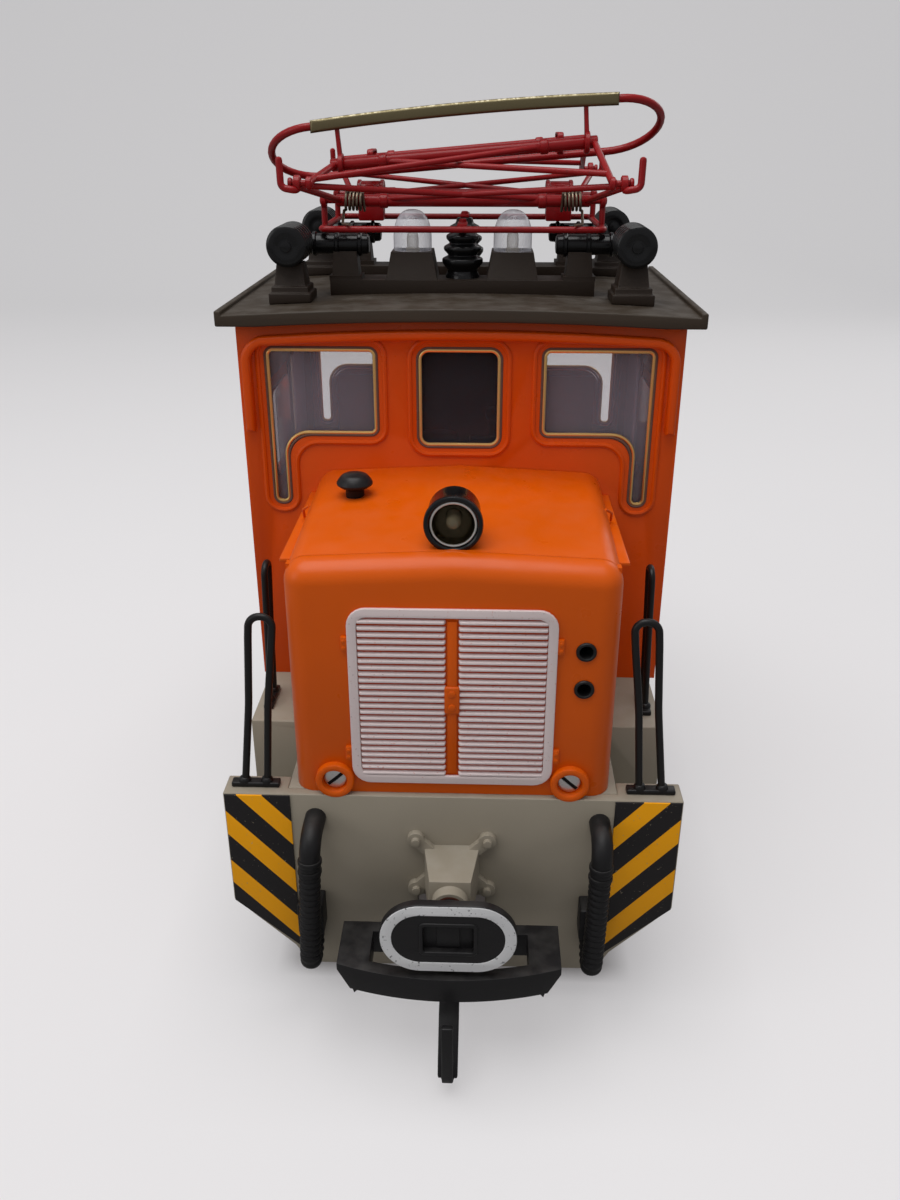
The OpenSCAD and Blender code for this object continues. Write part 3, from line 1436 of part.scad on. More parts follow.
chassis_frame();
headstock_front();
headstock_rear();
side_frames();
hood_front();
hood_rear();
grille_front();
grille_rear();
hood_screws();
headlamp_housings();
headlamp_reflectors();
lamp_bulbs();
jack_sockets();
filler_caps();
cab_shell();
cab_door_left();
cab_door_right();
door_glass_left();
door_glass_right();
cab_glazing();
control_stand();
cab_roof();
roof_bridges();
corner_pedestals();
roof_insulators();
lead_in_insulators();
warning_lamp_domes();
pantograph_base();
pantograph_springs();
lower_arm_front();
lower_arm_rear();
upper_arm_front();
upper_arm_rear();
pantograph_head();
wear_strip();
end_handrails();
deck_handrails();
brake_hoses();
buffer_brackets();
buffer_front();
buffer_rear();
coupler_front();
coupler_rear();
hook_front();
hook_rear();
underframe_screws();
wheels_front();
wheels_rear();
axle_front();
axle_rear();
worm_wheel_front();
worm_wheel_rear();
motor_can();
armature();
worms();
motor_block();
keeper_plate();
pickup_wipers();
circuit_board();
ballast_weights();
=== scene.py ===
from math import cos, pi, radians, sin, tan

import bpy
from mathutils import Matrix, Vector


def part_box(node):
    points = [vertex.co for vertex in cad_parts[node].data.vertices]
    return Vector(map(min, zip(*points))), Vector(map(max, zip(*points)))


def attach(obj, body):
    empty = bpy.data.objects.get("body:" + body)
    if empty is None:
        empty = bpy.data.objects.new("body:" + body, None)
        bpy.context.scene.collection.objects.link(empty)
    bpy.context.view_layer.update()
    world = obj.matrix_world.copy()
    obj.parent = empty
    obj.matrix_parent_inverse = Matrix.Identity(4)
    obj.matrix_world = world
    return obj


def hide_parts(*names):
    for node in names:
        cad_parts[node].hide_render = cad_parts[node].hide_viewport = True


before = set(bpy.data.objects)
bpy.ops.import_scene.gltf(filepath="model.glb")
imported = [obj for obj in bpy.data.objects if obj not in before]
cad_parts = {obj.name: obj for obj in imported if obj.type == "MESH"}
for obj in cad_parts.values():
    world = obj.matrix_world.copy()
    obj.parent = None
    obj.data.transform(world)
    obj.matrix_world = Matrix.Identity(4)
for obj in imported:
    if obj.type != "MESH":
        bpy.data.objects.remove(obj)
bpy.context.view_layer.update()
mm = 0.001
body = "locomotive"


def low(node, axis):
    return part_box(node)[0][axis] / mm            # lowest coordinate of a CAD node, in millimetres


def high(node, axis):
    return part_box(node)[1][axis] / mm


def middle(node, axis):
    return (low(node, axis) + high(node, axis)) / 2


# ---- camera, floor and light ----

cameraView = {
    "spot": (5.75, -275.6, 190.2),               # millimetres
    "pitch": 24.91,                              # degrees below level
    "turn": -1.92,                               # degrees, positive to the right
    "lens": 30.75,
}
studio = {
    "floorShade": (160, 159, 159),
    "bounceShade": (150, 149, 148),              # what the object sees of the paper
    "glowNear": (178, 176, 177),
    "glowFar": (170, 169, 170),
    "shadowUnderLoco": (150, 148, 149),                # painted shadow: the floor's glow is darker beneath the locomotive
    "shadowUnderChassis": (46, 41, 39),               # a darker painted shadow right beneath the chassis
    "shadowUnderAcross": (30, 75),                     # the painted shadow under the locomotive fades out over this, from the middle
    "shadowUnderAlong": (70, 130),
    "chassisShadowAcross": (34, 44),                   # and the painted shadow beneath the chassis over this
    "chassisShadowAlong": (81, 87),
    "far": (120, 950),                           # painted shade: the paper's glow darkens over this stretch
    "floorHalf": 1400,
    "wallRise": 900,                             # height of the backdrop at the far edge of the floor
    "bend": 500,
    "fill": 0.44,                                # light from all round
    "softboxSize": 900,
    "softboxHeight": 950,
    "softboxPower": 6.6,
    "sidePower": 0.85,
}


def shade(red, green, blue, alpha=1.0):
    linear = [((c / 255 + 0.055) / 1.055) ** 2.4 if c > 10 else c / 255 / 12.92 for c in (red, green, blue)]
    return (*linear, alpha)


def lookAlong(direction):
    return Vector(direction).to_track_quat("-Z", "Y").to_euler()


def deselect():
    bpy.ops.object.select_all(action="DESELECT")


def pick(obj):
    deselect()
    obj.select_set(True)
    bpy.context.view_layer.objects.active = obj
    return obj


def settle(obj):
    pick(obj)                                    # the place goes into the mesh
    bpy.ops.object.transform_apply(location=True, rotation=True, scale=True)
    return obj


deselect()
pitch, turn = radians(cameraView["pitch"]), radians(cameraView["turn"])
bpy.ops.object.camera_add(
    location=Vector(cameraView["spot"]) * mm,
    rotation=lookAlong((sin(turn) * cos(pitch), cos(turn) * cos(pitch), -sin(pitch))))
camera = bpy.context.active_object
camera.name = "studioCamera"
camera.data.lens = cameraView["lens"]
camera.data.sensor_width = 36
camera.data.clip_start = 0.01
bpy.context.scene.camera = camera
bpy.context.scene.view_settings.view_transform = "Standard"


def softbox(name, spot, aim, size, power):
    spot = Vector(spot) * mm
    bpy.ops.object.light_add(type="AREA", location=spot, rotation=lookAlong(Vector(aim) * mm - spot))
    light = bpy.context.active_object
    light.name = name
    light.data.shape = "DISK"
    light.data.size = size * mm
    light.data.energy = power
    return light


softbox("softboxTop", (-120, -180, studio["softboxHeight"]), (0, 20, 60), studio["softboxSize"],
        studio["softboxPower"])
softbox("softboxLeft", (-700, -420, 420), (0, 0, 80), 500, studio["sidePower"])
softbox("softboxBack", (500, 700, 520), (0, 0, 90), 500, studio["sidePower"])


class Pin:
    # a shader value that adds and multiplies like a number
    def __init__(self, finish, socket):
        self.finish, self.socket = finish, socket

    def maths(self, operation, first, second=0.0):
        return self.finish.pin("ShaderNodeMath", {"operation": operation}, {0: first, 1: second})

    def __add__(self, other): return self.maths("ADD", self, other)
    def __radd__(self, other): return self.maths("ADD", other, self)
    def __sub__(self, other): return self.maths("SUBTRACT", self, other)
    def __rsub__(self, other): return self.maths("SUBTRACT", other, self)
    def __mul__(self, other): return self.maths("MULTIPLY", self, other)
    def __rmul__(self, other): return self.maths("MULTIPLY", other, self)
    def __mod__(self, other): return self.maths("FLOORED_MODULO", self, other)
    def __gt__(self, other): return self.maths("GREATER_THAN", self, other)
    def __lt__(self, other): return self.maths("LESS_THAN", self, other)
    def __abs__(self): return self.maths("ABSOLUTE", self)

    def least(self, other): return self.maths("MINIMUM", self, other)

    def between(self, start, end):
        # 0 below start, 1 above end, straight in between
        return self.finish.pin("ShaderNodeMapRange", {}, {"Value": self, "From Min": start, "From Max": end})


class Finish:
    def __init__(self, name, colour=(0.8, 0.8, 0.8, 1), roughness=0.5, **sockets):
        self.material = bpy.data.materials.new(name)
        self.material.use_nodes = True
        self.tree = self.material.node_tree
        self.tree.nodes.clear()
        self.shader = self.node("ShaderNodeBsdfPrincipled", {},
                                {"Base Color": colour, "Roughness": roughness})
        for key, value in sockets.items():
            self.shader.inputs[key.replace("_", " ")].default_value = value
        self.colour, self.roughness = colour, roughness
        self.end = self.node("ShaderNodeOutputMaterial", {}, {"Surface": self.shader.outputs[0]})
        self.place = self.pin("ShaderNodeTexCoord", {}, {}, "Object")
        self.axes = self.node("ShaderNodeSeparateXYZ", {}, {0: self.place})
        self.height = None

    def node(self, kind, settings, sockets):
        made = self.tree.nodes.new(kind)
        for key, value in settings.items():
            setattr(made, key, value)
        for key, value in sockets.items():
            if isinstance(value, Pin):
                self.tree.links.new(value.socket, made.inputs[key])
            elif isinstance(value, bpy.types.NodeSocket):
                self.tree.links.new(value, made.inputs[key])
            else:
                made.inputs[key].default_value = value
        return made

    def pin(self, kind, settings, sockets, output=0):
        return Pin(self, self.node(kind, settings, sockets).outputs[output])

    def axis(self, index):
        return Pin(self, self.axes.outputs[index]) * (1 / mm)   # in millimetres

    def facing(self, index):
        normal = self.pin("ShaderNodeNewGeometry", {}, {}, "Normal")
        return self.pin("ShaderNodeSeparateXYZ", {}, {0: normal}, index)

    def noise(self, size, detail=3.0, stretch=(1, 1, 1)):
        place = self.pin("ShaderNodeMapping", {}, {"Vector": self.place, "Scale": stretch})
        return self.pin("ShaderNodeTexNoise", {},
                        {"Vector": place, "Scale": 1 / (size * mm), "Detail": detail})

    def specks(self, size, share):
        spots = self.pin("ShaderNodeTexVoronoi", {}, {"Vector": self.place, "Scale": 1 / (size * mm)},
                         "Distance")
        return (spots < share) * 1.0

    def blend(self, mask, first, second):
        mix = self.node("ShaderNodeMix", {"data_type": "RGBA"}, {0: mask, 6: first, 7: second})
        return Pin(self, mix.outputs[2])

    def paint(self, mask, tone):
        self.colour = self.blend(mask, self.colour, tone)
        return self

    def relief(self, height, distance):
        # height is 0 to 1 and distance is its full size in millimetres
        sockets = {"Height": height, "Distance": distance * mm, "Strength": 1.0}
        if self.height is not None:
            sockets["Normal"] = self.height
        self.height = self.pin("ShaderNodeBump", {}, sockets)
        return self

    def done(self):
        for key, value in (("Base Color", self.colour), ("Roughness", self.roughness),
                           ("Normal", self.height)):
            if isinstance(value, Pin):
                self.tree.links.new(value.socket, self.shader.inputs[key])
        return self.material


def moulded(name, tone, roughness, grain=0.02, dust=0.05, **sockets):
    # moulded plastic: cloudy tone, fine grain and a little dust on what faces up
    f = Finish(name, tone, roughness, **sockets)
    darker = tuple(c * 0.86 for c in tone[:3]) + (1,)
    f.paint(f.noise(22).between(0.35, 0.7) * 0.5, darker)
    f.paint((f.facing(2).between(0.6, 1.0) * f.noise(5).between(0.4, 0.75)) * dust, (0.55, 0.52, 0.48, 1))
    f.roughness = f.noise(7).between(0.3, 0.7) * 0.14 + (roughness - 0.07)
    f.relief(f.noise(0.35, 2), grain)
    f.shader.inputs["Specular IOR Level"].default_value = 0.26
    return f


def metal(name, tone, roughness, stretch=(1, 1, 1), size=0.6):
    f = Finish(name, tone, roughness, Metallic=1.0)
    f.paint(f.noise(size, 4, stretch).between(0.3, 0.75) * 0.35, tuple(c * 0.72 for c in tone[:3]) + (1,))
    f.roughness = f.noise(size * 2, 3, stretch) * 0.22 + (roughness - 0.1)
    f.relief(f.noise(size * 0.5, 2, stretch), 0.01)
    return f


middlePane = 15                                  # the middle windows lie within this, from the middle


def clearPlastic(name, tone, alpha, roughness=0.06, paintedSideSheen=0):
    # the last argument makes the panes outside the middle one less clear: a painted reflection, the pale
    # glass tone standing in for light reflected from the sides and the lit cab inside
    f = Finish(name, tone, roughness, IOR=1.49, Coat_Weight=0.3)
    edge = f.pin("ShaderNodeLayerWeight", {}, {"Blend": 0.35}, "Facing")
    f.shader.inputs["Specular IOR Level"].default_value = 0.7
    cover = edge * (0.9 - alpha) + alpha
    if paintedSideSheen:
        cover = cover + (abs(f.axis(0)) > middlePane) * paintedSideSheen
    f.tree.links.new(cover.socket, f.shader.inputs["Alpha"])
    f.roughness = f.noise(3).between(0.3, 0.8) * 0.1 + roughness
    return f


finishes = {}


def keep(f):
    finishes[f.material.name] = f.done()
    return f


keep(moulded("greyPlastic", shade(152, 143, 127), 0.42, 0.02, 0.12))
keep(moulded("orangePlastic", shade(216, 88, 0), 0.34, 0.012, 0.02))
keep(moulded("roofPlastic", shade(58, 49, 39), 0.5, 0.03, 0.08))
keep(moulded("postPlastic", shade(42, 32, 24), 0.5, 0.03, 0.05))
keep(moulded("blackPlastic", shade(26, 25, 26), 0.4, 0.02, 0.05))
keep(moulded("blackGloss", shade(14, 14, 15), 0.26, 0.008, 0.03, Coat_Weight=0.15))
keep(moulded("blackWire", shade(24, 23, 23), 0.36, 0.015, 0.03))
keep(moulded("hoseRubber", shade(22, 21, 22), 0.5, 0.03, 0.06))
keep(moulded("nylon", shade(222, 214, 190), 0.4))
keep(moulded("boardGreen", shade(38, 96, 62), 0.35))
keep(moulded("standBlack", shade(8, 6, 6), 0.7))
keep(metal("screwSteel", (0.62, 0.61, 0.6, 1), 0.3, (1, 1, 6)))
keep(metal("wheelMetal", (0.5, 0.49, 0.47, 1), 0.25))
keep(metal("axleSteel", (0.55, 0.54, 0.53, 1), 0.3, (6, 1, 1)))
keep(metal("canSteel", (0.5, 0.5, 0.51, 1), 0.32, (1, 6, 1)))
keep(metal("copperWinding", (0.72, 0.33, 0.14, 1), 0.35, (1, 8, 1)))
keep(metal("turnedBrass", (0.72, 0.52, 0.22, 1), 0.3))
keep(metal("castIron", (0.22, 0.22, 0.23, 1), 0.6))
keep(metal("lampChrome", (0.3, 0.27, 0.21, 1), 0.2))
keep(metal("lampRim", (0.75, 0.74, 0.7, 1), 0.3))
# the pale tone of the glass shows as a painted reflection on the panes outside the middle
keep(clearPlastic("windowClear", shade(206, 196, 212), 0.01, 0.06, 0.13))
keep(clearPlastic("domeClear", shade(232, 232, 240), 0.22))
keep(clearPlastic("bulbClear", shade(150, 138, 110), 0.3))

# red enamel on the pantograph, chipped dark at a few places
red = moulded("pantographRed", shade(142, 12, 16), 0.34, 0.01, 0.0, Coat_Weight=0.1)
red.paint(red.noise(1.6, 4).between(0.66, 0.72) * 0.6, shade(92, 30, 28))
keep(red)

# dull olive brass of the wear strip, brighter where it is rubbed
strip = metal("stripBrass", shade(122, 112, 84), 0.42, (6, 1, 1), 0.8)
strip.paint((strip.facing(2).between(0.4, 0.9) * strip.noise(0.9, 4).between(0.48, 0.56)) * 0.8,
            shade(206, 198, 172))
keep(strip)

cabPaint = moulded("orangeCab", shade(214, 76, 0), 0.34, 0.012, 0.02)
# painted shade: the cab's inner walls are a dark violet grey, standing in for the shade and reflections seen
# through the windows
cabShadeArea = {"halfWide": 50.2, "halfLong": 36.6}
inside = (abs(cabPaint.axis(0)) < cabShadeArea["halfWide"]) * (abs(cabPaint.axis(1)) < cabShadeArea["halfLong"])
cabPaint.paint(inside, shade(72, 60, 66))
keep(cabPaint)
keep(metal("springSteel", (0.24, 0.19, 0.14, 1), 0.36, (1, 1, 1), 0.5))
keep(metal("goldTrim", shade(240, 196, 124), 0.34, (1, 1, 1), 0.3))
keep(moulded("gasketGrey", shade(104, 76, 66), 0.3, 0.01, 0.03))
keep(moulded("rustyCollar", shade(82, 44, 34), 0.5, 0.02, 0.05))
white = moulded("whitePaint", shade(214, 214, 214), 0.45, 0.03, 0.04)
white.paint(white.noise(0.8, 5).between(0.62, 0.68) * 0.8, shade(70, 70, 70))
keep(white)

cadFinish = {
    "greyPlastic": ["chassis_frame", "headstock_front", "headstock_rear", "side_frames", "buffer_brackets"],
    "orangePlastic": ["hood_front", "hood_rear", "cab_shell", "cab_door_left", "cab_door_right"],
    "roofPlastic": ["cab_roof"],
    "postPlastic": ["roof_bridges", "corner_pedestals"],
    "blackPlastic": ["headlamp_housings", "jack_sockets", "filler_caps", "buffer_front", "buffer_rear",
                     "coupler_front", "coupler_rear", "hook_front", "hook_rear", "motor_block",
                     "keeper_plate"],
    "blackGloss": ["roof_insulators", "lead_in_insulators"],
    "blackWire": ["end_handrails", "deck_handrails"],
    "hoseRubber": ["brake_hoses"],
    "nylon": ["worm_wheel_front", "worm_wheel_rear"],
    "boardGreen": ["circuit_board"],
    "standBlack": ["control_stand"],
    "screwSteel": ["hood_screws", "underframe_screws", "pantograph_springs"],
    "wheelMetal": ["wheels_front", "wheels_rear"],
    "axleSteel": ["axle_front", "axle_rear"],
    "canSteel": ["motor_can"],
    "copperWinding": ["armature"],
    "turnedBrass": ["worms", "pickup_wipers"],
    "castIron": ["ballast_weights"],
    "lampChrome": ["headlamp_reflectors", "grille_front", "grille_rear"],
    "windowClear": ["cab_glazing", "door_glass_left", "door_glass_right"],
    "domeClear": ["warning_lamp_domes"],
    "bulbClear": ["lamp_bulbs"],
    "pantographRed": ["pantograph_base", "lower_arm_front", "lower_arm_rear", "upper_arm_front",
                      "upper_arm_rear", "pantograph_head"],
    "stripBrass": ["wear_strip"],
}
for finishName, nodes in cadFinish.items():
    for node in nodes:
        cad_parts[node].data.materials.clear()
        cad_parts[node].data.materials.append(finishes[finishName])
print("finishes:", len(finishes))

# ---- modelling helpers ----


def active():
    return bpy.context.active_object


def applied(obj, kind, **settings):
    pick(obj)
    modifier = obj.modifiers.new(kind.lower(), kind)
    for key, value in settings.items():
        setattr(modifier, key, value)
    bpy.ops.object.modifier_apply(modifier=modifier.name)
    return obj


def chosen(obj, kind, test):
    # leaves edit mode open with the vertices, edges or faces that pass the test selected
    pick(obj)
    bpy.ops.object.mode_set(mode="EDIT")
    bpy.ops.mesh.select_mode(type=kind)
    bpy.ops.mesh.select_all(action="DESELECT")
    bpy.ops.object.mode_set(mode="OBJECT")
    mesh = obj.data
    if kind == "VERT":
        for v in mesh.vertices:
            v.select = test(v.co / mm)
    elif kind == "EDGE":
        for e in mesh.edges:
            a, b = (mesh.vertices[i].co / mm for i in e.vertices)
            e.select = test((a + b) / 2, b - a)
    else:
        for f in mesh.polygons:
            f.select = test(f.center / mm, f.normal)
    bpy.ops.object.mode_set(mode="EDIT")


def openWhole(obj, kind):
    # leaves edit mode open with everything selected
    pick(obj)
    bpy.ops.object.mode_set(mode="EDIT")
    bpy.ops.mesh.select_mode(type=kind)
    bpy.ops.mesh.select_all(action="SELECT")


def leave():
    bpy.ops.object.mode_set(mode="OBJECT")


def tidyMesh(obj, weld=0.004):
    # welds doubles and turns all faces outwards
    openWhole(obj, "VERT")
    bpy.ops.mesh.remove_doubles(threshold=weld * mm)
    bpy.ops.mesh.normals_make_consistent(inside=False)
    leave()
    return obj


def softened(obj, width, steps=2, angle=32):
    return applied(obj, "BEVEL", width=width * mm, segments=steps, limit_method="ANGLE",
                   angle_limit=radians(angle))


def boxShape(lowCorner, highCorner, soft=0.25, steps=2):
    a, b = Vector(lowCorner) * mm, Vector(highCorner) * mm
    bpy.ops.mesh.primitive_cube_add(size=1, location=(a + b) / 2)
    obj = active()
    obj.scale = b - a
    settle(obj)
    return softened(obj, soft, steps) if soft else obj


def rodShape(start, end, radius, soft=0.15, sides=32):
    a, b = Vector(start) * mm, Vector(end) * mm
    turned = (b - a).to_track_quat("Z", "Y").to_euler()
    bpy.ops.mesh.primitive_cylinder_add(vertices=sides, radius=radius * mm, depth=(b - a).length,
                                        location=(a + b) / 2, rotation=turned)
    obj = settle(active())
    return softened(obj, soft, 2, 50) if soft else obj


def turnedShape(profile, spot, axis="Z", sides=48):
    # profile is (radius, height) pairs; the axis letter may carry a minus
    radius, height = profile[0]
    bpy.ops.mesh.primitive_circle_add(vertices=sides, radius=radius * mm, fill_type="NGON",
                                      location=(0, 0, height * mm))
    obj = settle(active())
    openWhole(obj, "FACE")
    for (r0, h0), (r1, h1) in zip(profile, profile[1:]):
        bpy.ops.mesh.extrude_region_move(TRANSFORM_OT_translate={"value": (0, 0, (h1 - h0) * mm)})
        if r1 != r0:
            bpy.ops.transform.resize(value=(r1 / r0, r1 / r0, 1), center_override=(0, 0, h1 * mm))
    leave()
    turns = {"Z": (0, 0, 0), "-Z": (pi, 0, 0), "Y": (-pi / 2, 0, 0), "-Y": (pi / 2, 0, 0),
             "X": (0, pi / 2, 0), "-X": (0, -pi / 2, 0)}
    obj.rotation_euler = turns[axis]
    obj.location = Vector(spot) * mm
    settle(obj)
    return tidyMesh(obj)


def rounded(points, radius, steps=6, closed=False):
    # each corner of a route becomes an arc; radius may be a list with one for each corner
    points = [Vector(p) for p in points]
    route = []
    count = len(points)
    for i, p in enumerate(points):
        r = radius[i] if isinstance(radius, (list, tuple)) else radius
        if r <= 0 or (not closed and i in (0, count - 1)):
            route.append(p)
            continue
        back, ahead = points[i - 1] - p, points[(i + 1) % count] - p
        turn = back.angle(ahead, pi)
        reach = min(r / max(tan(turn / 2), 1e-3), back.length * 0.49, ahead.length * 0.49)
        a, b, w = p + back.normalized() * reach, p + ahead.normalized() * reach, sin(turn / 2)
        for k in range(steps + 1):
            t = k / steps
            parts = ((1 - t) ** 2, 2 * w * t * (1 - t), t * t)
            route.append((a * parts[0] + p * parts[1] + b * parts[2]) / sum(parts))
    return route


def meshOf(curve):
    obj = bpy.data.objects.new(curve.name, curve)
    bpy.context.scene.collection.objects.link(obj)
    pick(obj)
    bpy.ops.object.convert(target="MESH")
    return active()


def wireShape(routes, radius, sides=12, closed=False, swell=None):
    # one or more wires; swell gives a thickness factor for each point of a route
    curve = bpy.data.curves.new("wire", "CURVE")
    curve.dimensions = "3D"
    for route in routes:
        spline = curve.splines.new("POLY")
        spline.points.add(len(route) - 1)
        for i, (point, place) in enumerate(zip(spline.points, route)):
            point.co = (*(Vector(place) * mm), 1)
            point.radius = swell(i) if swell else 1
        spline.use_cyclic_u = closed
    curve.bevel_depth = radius * mm
    curve.bevel_resolution = max(sides // 2 - 2, 0)
    curve.use_fill_caps = not closed
    return tidyMesh(meshOf(curve))


def plateShape(outlines, start, end, plane="XZ", soft=0.15, steps=2):
    # a flat plate with soft rims from closed outlines; inner outlines are holes
    curve = bpy.data.curves.new("plate", "CURVE")
    curve.dimensions = "2D"
    curve.fill_mode = "BOTH"
    for outline in outlines:
        spline = curve.splines.new("POLY")
        spline.points.add(len(outline) - 1)
        for point, place in zip(spline.points, outline):
            point.co = (place[0] * mm, place[1] * mm, 0, 1)
        spline.use_cyclic_u = True
    curve.extrude = ((end - start) / 2 - soft) * mm
    curve.bevel_depth = soft * mm
    curve.bevel_resolution = steps
    curve.offset = -soft * mm
    obj = meshOf(curve)
    centre = (start + end) / 2 * mm
    turn = {"XZ": Matrix(((1, 0, 0), (0, 0, -1), (0, 1, 0))), "YZ": Matrix(((0, 0, 1), (1, 0, 0), (0, 1, 0))),
            "XY": Matrix.Identity(3)}[plane]
    shift = {"XZ": (0, centre, 0), "YZ": (centre, 0, 0), "XY": (0, 0, centre)}[plane]
    obj.matrix_world = Matrix.Translation(shift) @ turn.to_4x4()
    settle(obj)
    return tidyMesh(obj)


def roundBox(left, bottom, right, top, radius, steps=6):
    # outline of an upright box with round corners
    return rounded([(left, bottom, 0), (right, bottom, 0), (right, top, 0), (left, top, 0)], radius, steps,
                   True)


def arcs(left, bottom, right, top, radius, steps=6):
    return [(p.x, p.y) for p in roundBox(left, bottom, right, top, radius, steps)]


def joined(shapes):
    deselect()
    for shape in shapes:
        shape.select_set(True)
    bpy.context.view_layer.objects.active = shapes[0]
    if len(shapes) > 1:
        bpy.ops.object.join()
    return shapes[0]


def copied(obj):
    twin = obj.copy()
    twin.data = obj.data.copy()
    bpy.context.scene.collection.objects.link(twin)
    return twin


def mirrored(obj, axis=0):
    twin = copied(obj)
    twin.scale[axis] = -1
    settle(twin)
    return tidyMesh(twin)


def turnedRound(obj):
    twin = copied(obj)
    twin.rotation_euler = (0, 0, pi)
    return settle(twin)


def settled(obj):
    # turns a piece of the front end round to the rear end
    obj.rotation_euler = (0, 0, pi)
    return settle(obj)


def moved(obj, x=0, y=0, z=0):
    twin = copied(obj)
    twin.location = Vector((x, y, z)) * mm
    return settle(twin)


def bothEnds(shape):
    return joined([shape, turnedRound(shape)])


def finished(obj, name, finish, rides=body, stands=(), angle=35):
    obj.name = obj.data.name = name
    pick(obj)
    bpy.ops.object.shade_smooth_by_angle(angle=radians(angle))
    if finish:
        obj.data.materials.clear()
        obj.data.materials.append(finishes[finish])
    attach(obj, rides)
    if stands:
        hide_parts(*stands)
    return obj


def softCopy(node, width, steps=2, angle=32, wider=None, widerBy=0.8):
    # a welded copy of a CAD node with its sharp edges rounded; some may be rounded more
    obj = copied(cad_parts[node])
    for key in list(obj.keys()):
        del obj[key]
    obj.parent = None
    openWhole(obj, "VERT")
    bpy.ops.mesh.remove_doubles(threshold=0.002 * mm)
    bpy.ops.mesh.dissolve_limited(angle_limit=radians(0.6))
    leave()
    obj.data.materials.clear()
    if wider:
        chosen(obj, "EDGE", wider)
        bpy.ops.mesh.bevel(offset=widerBy * mm, segments=4, profile=0.5, clamp_overlap=True)
        leave()
    applied(obj, "BEVEL", width=width * mm, segments=steps, limit_method="ANGLE", angle_limit=radians(angle),
            use_clamp_overlap=True)
    return obj


# ---- hoods ----

hoodShape = {
    "edge": 4.5,                                 # radius round the front and the top edges
    "fall": 3.0,
    "crest": 1.7,
    "nose": 5.2,                                 # the front cap ends this far back, at a fine seam
    "seam": 0.12,
    "gap": 0.3,                                  # dark gap between the hood and the cab
}
hoodEnd = high("grille_front", 1)                # outer face of the front hood
headFace = low("headstock_front", 1)             # front face of the headstock
deckTop = low("control_stand", 2)
hoodHalf = 34.25
cabFront = low("cab_glazing", 1) - 1.8           # outer face of the cab's end wall
hoodTop = deckTop + 56
socketSizes = {"flange": 2.1, "hole": 1.65, "holeDepth": 8.5}
socketX = high("jack_sockets", 0) - socketSizes["flange"]
socketZ = (high("jack_sockets", 2) - socketSizes["flange"], low("jack_sockets", 2) + socketSizes["flange"])


def makeHood():
    v = hoodShape
    obj = boxShape((-hoodHalf, hoodEnd, deckTop), (hoodHalf, cabFront - v["gap"], hoodTop), 0)
    chosen(obj, "EDGE", lambda c, d: c.y < hoodEnd + 0.1 and c.z > hoodTop - 0.1)
    bpy.ops.transform.translate(value=(0, 0, -v["fall"] * mm))
    leave()
    openWhole(obj, "EDGE")
    bpy.ops.mesh.bisect(plane_co=(0, 0, 0), plane_no=(1, 0, 0))
    leave()
    chosen(obj, "VERT", lambda c: abs(c.x) < 0.01 and c.z > deckTop + 30)
    bpy.ops.transform.translate(value=(0, 0, v["crest"] * mm))
    leave()

    def rim(c, d):
        front = c.y < hoodEnd + 0.1 and (c.z > deckTop + 40 or (abs(d.z) > 20 and abs(c.x) > 1))
        side = abs(d.y) > 20 and abs(c.x) > hoodHalf - 0.1 and c.z > deckTop + 30
        return front or side

    chosen(obj, "EDGE", rim)
    bpy.ops.mesh.bevel(offset=v["edge"] * mm, segments=8, profile=0.5, offset_type="OFFSET")
    leave()
    # the cap and the body are two mouldings with a fine seam between them
    seamAt = hoodEnd + v["nose"]
    pick(obj)
    hoodBody = copied(obj)
    cut(obj, (0, seamAt - v["seam"] / 2, 0), (0, 1, 0))
    cut(hoodBody, (0, seamAt + v["seam"] / 2, 0), (0, -1, 0))
    core = boxShape((-hoodHalf + 0.5, seamAt - 1, deckTop), (hoodHalf - 0.5, seamAt + 1, hoodTop - 4), 0)
    # holes for the lighting sockets
    bores = joined([rodShape((socketX, hoodEnd - 2, z), (socketX, hoodEnd + socketSizes["holeDepth"], z),
                             socketSizes["hole"], 0) for z in socketZ])
    shells = [softened(obj, 0.1, 2, 60), softened(hoodBody, 0.1, 2, 60), core]
    for shell in shells:
        applied(shell, "BOOLEAN", object=bores, operation="DIFFERENCE", solver="EXACT")
    bpy.data.objects.remove(bores)
    return joined(shells)


def cut(obj, spot, normal):
    # removes what lies on the side the normal points to, and closes the cut
    openWhole(obj, "EDGE")
    bpy.ops.mesh.bisect(plane_co=Vector(spot) * mm, plane_no=normal, use_fill=True, clear_outer=True)
    leave()
    return obj


screwX, screwZ = 25.3, deckTop + 3.5


def makeRing():
    # raised collar round a fixing screw
    return turnedShape([(4.2, -4), (4.2, 1.2), (4.05, 1.5), (3.75, 1.6), (3.0, 1.6), (2.75, 1.45),
                        (2.7, 1.2), (2.7, -1.5)],
                       (screwX, hoodEnd, screwZ), "-Y", 48)


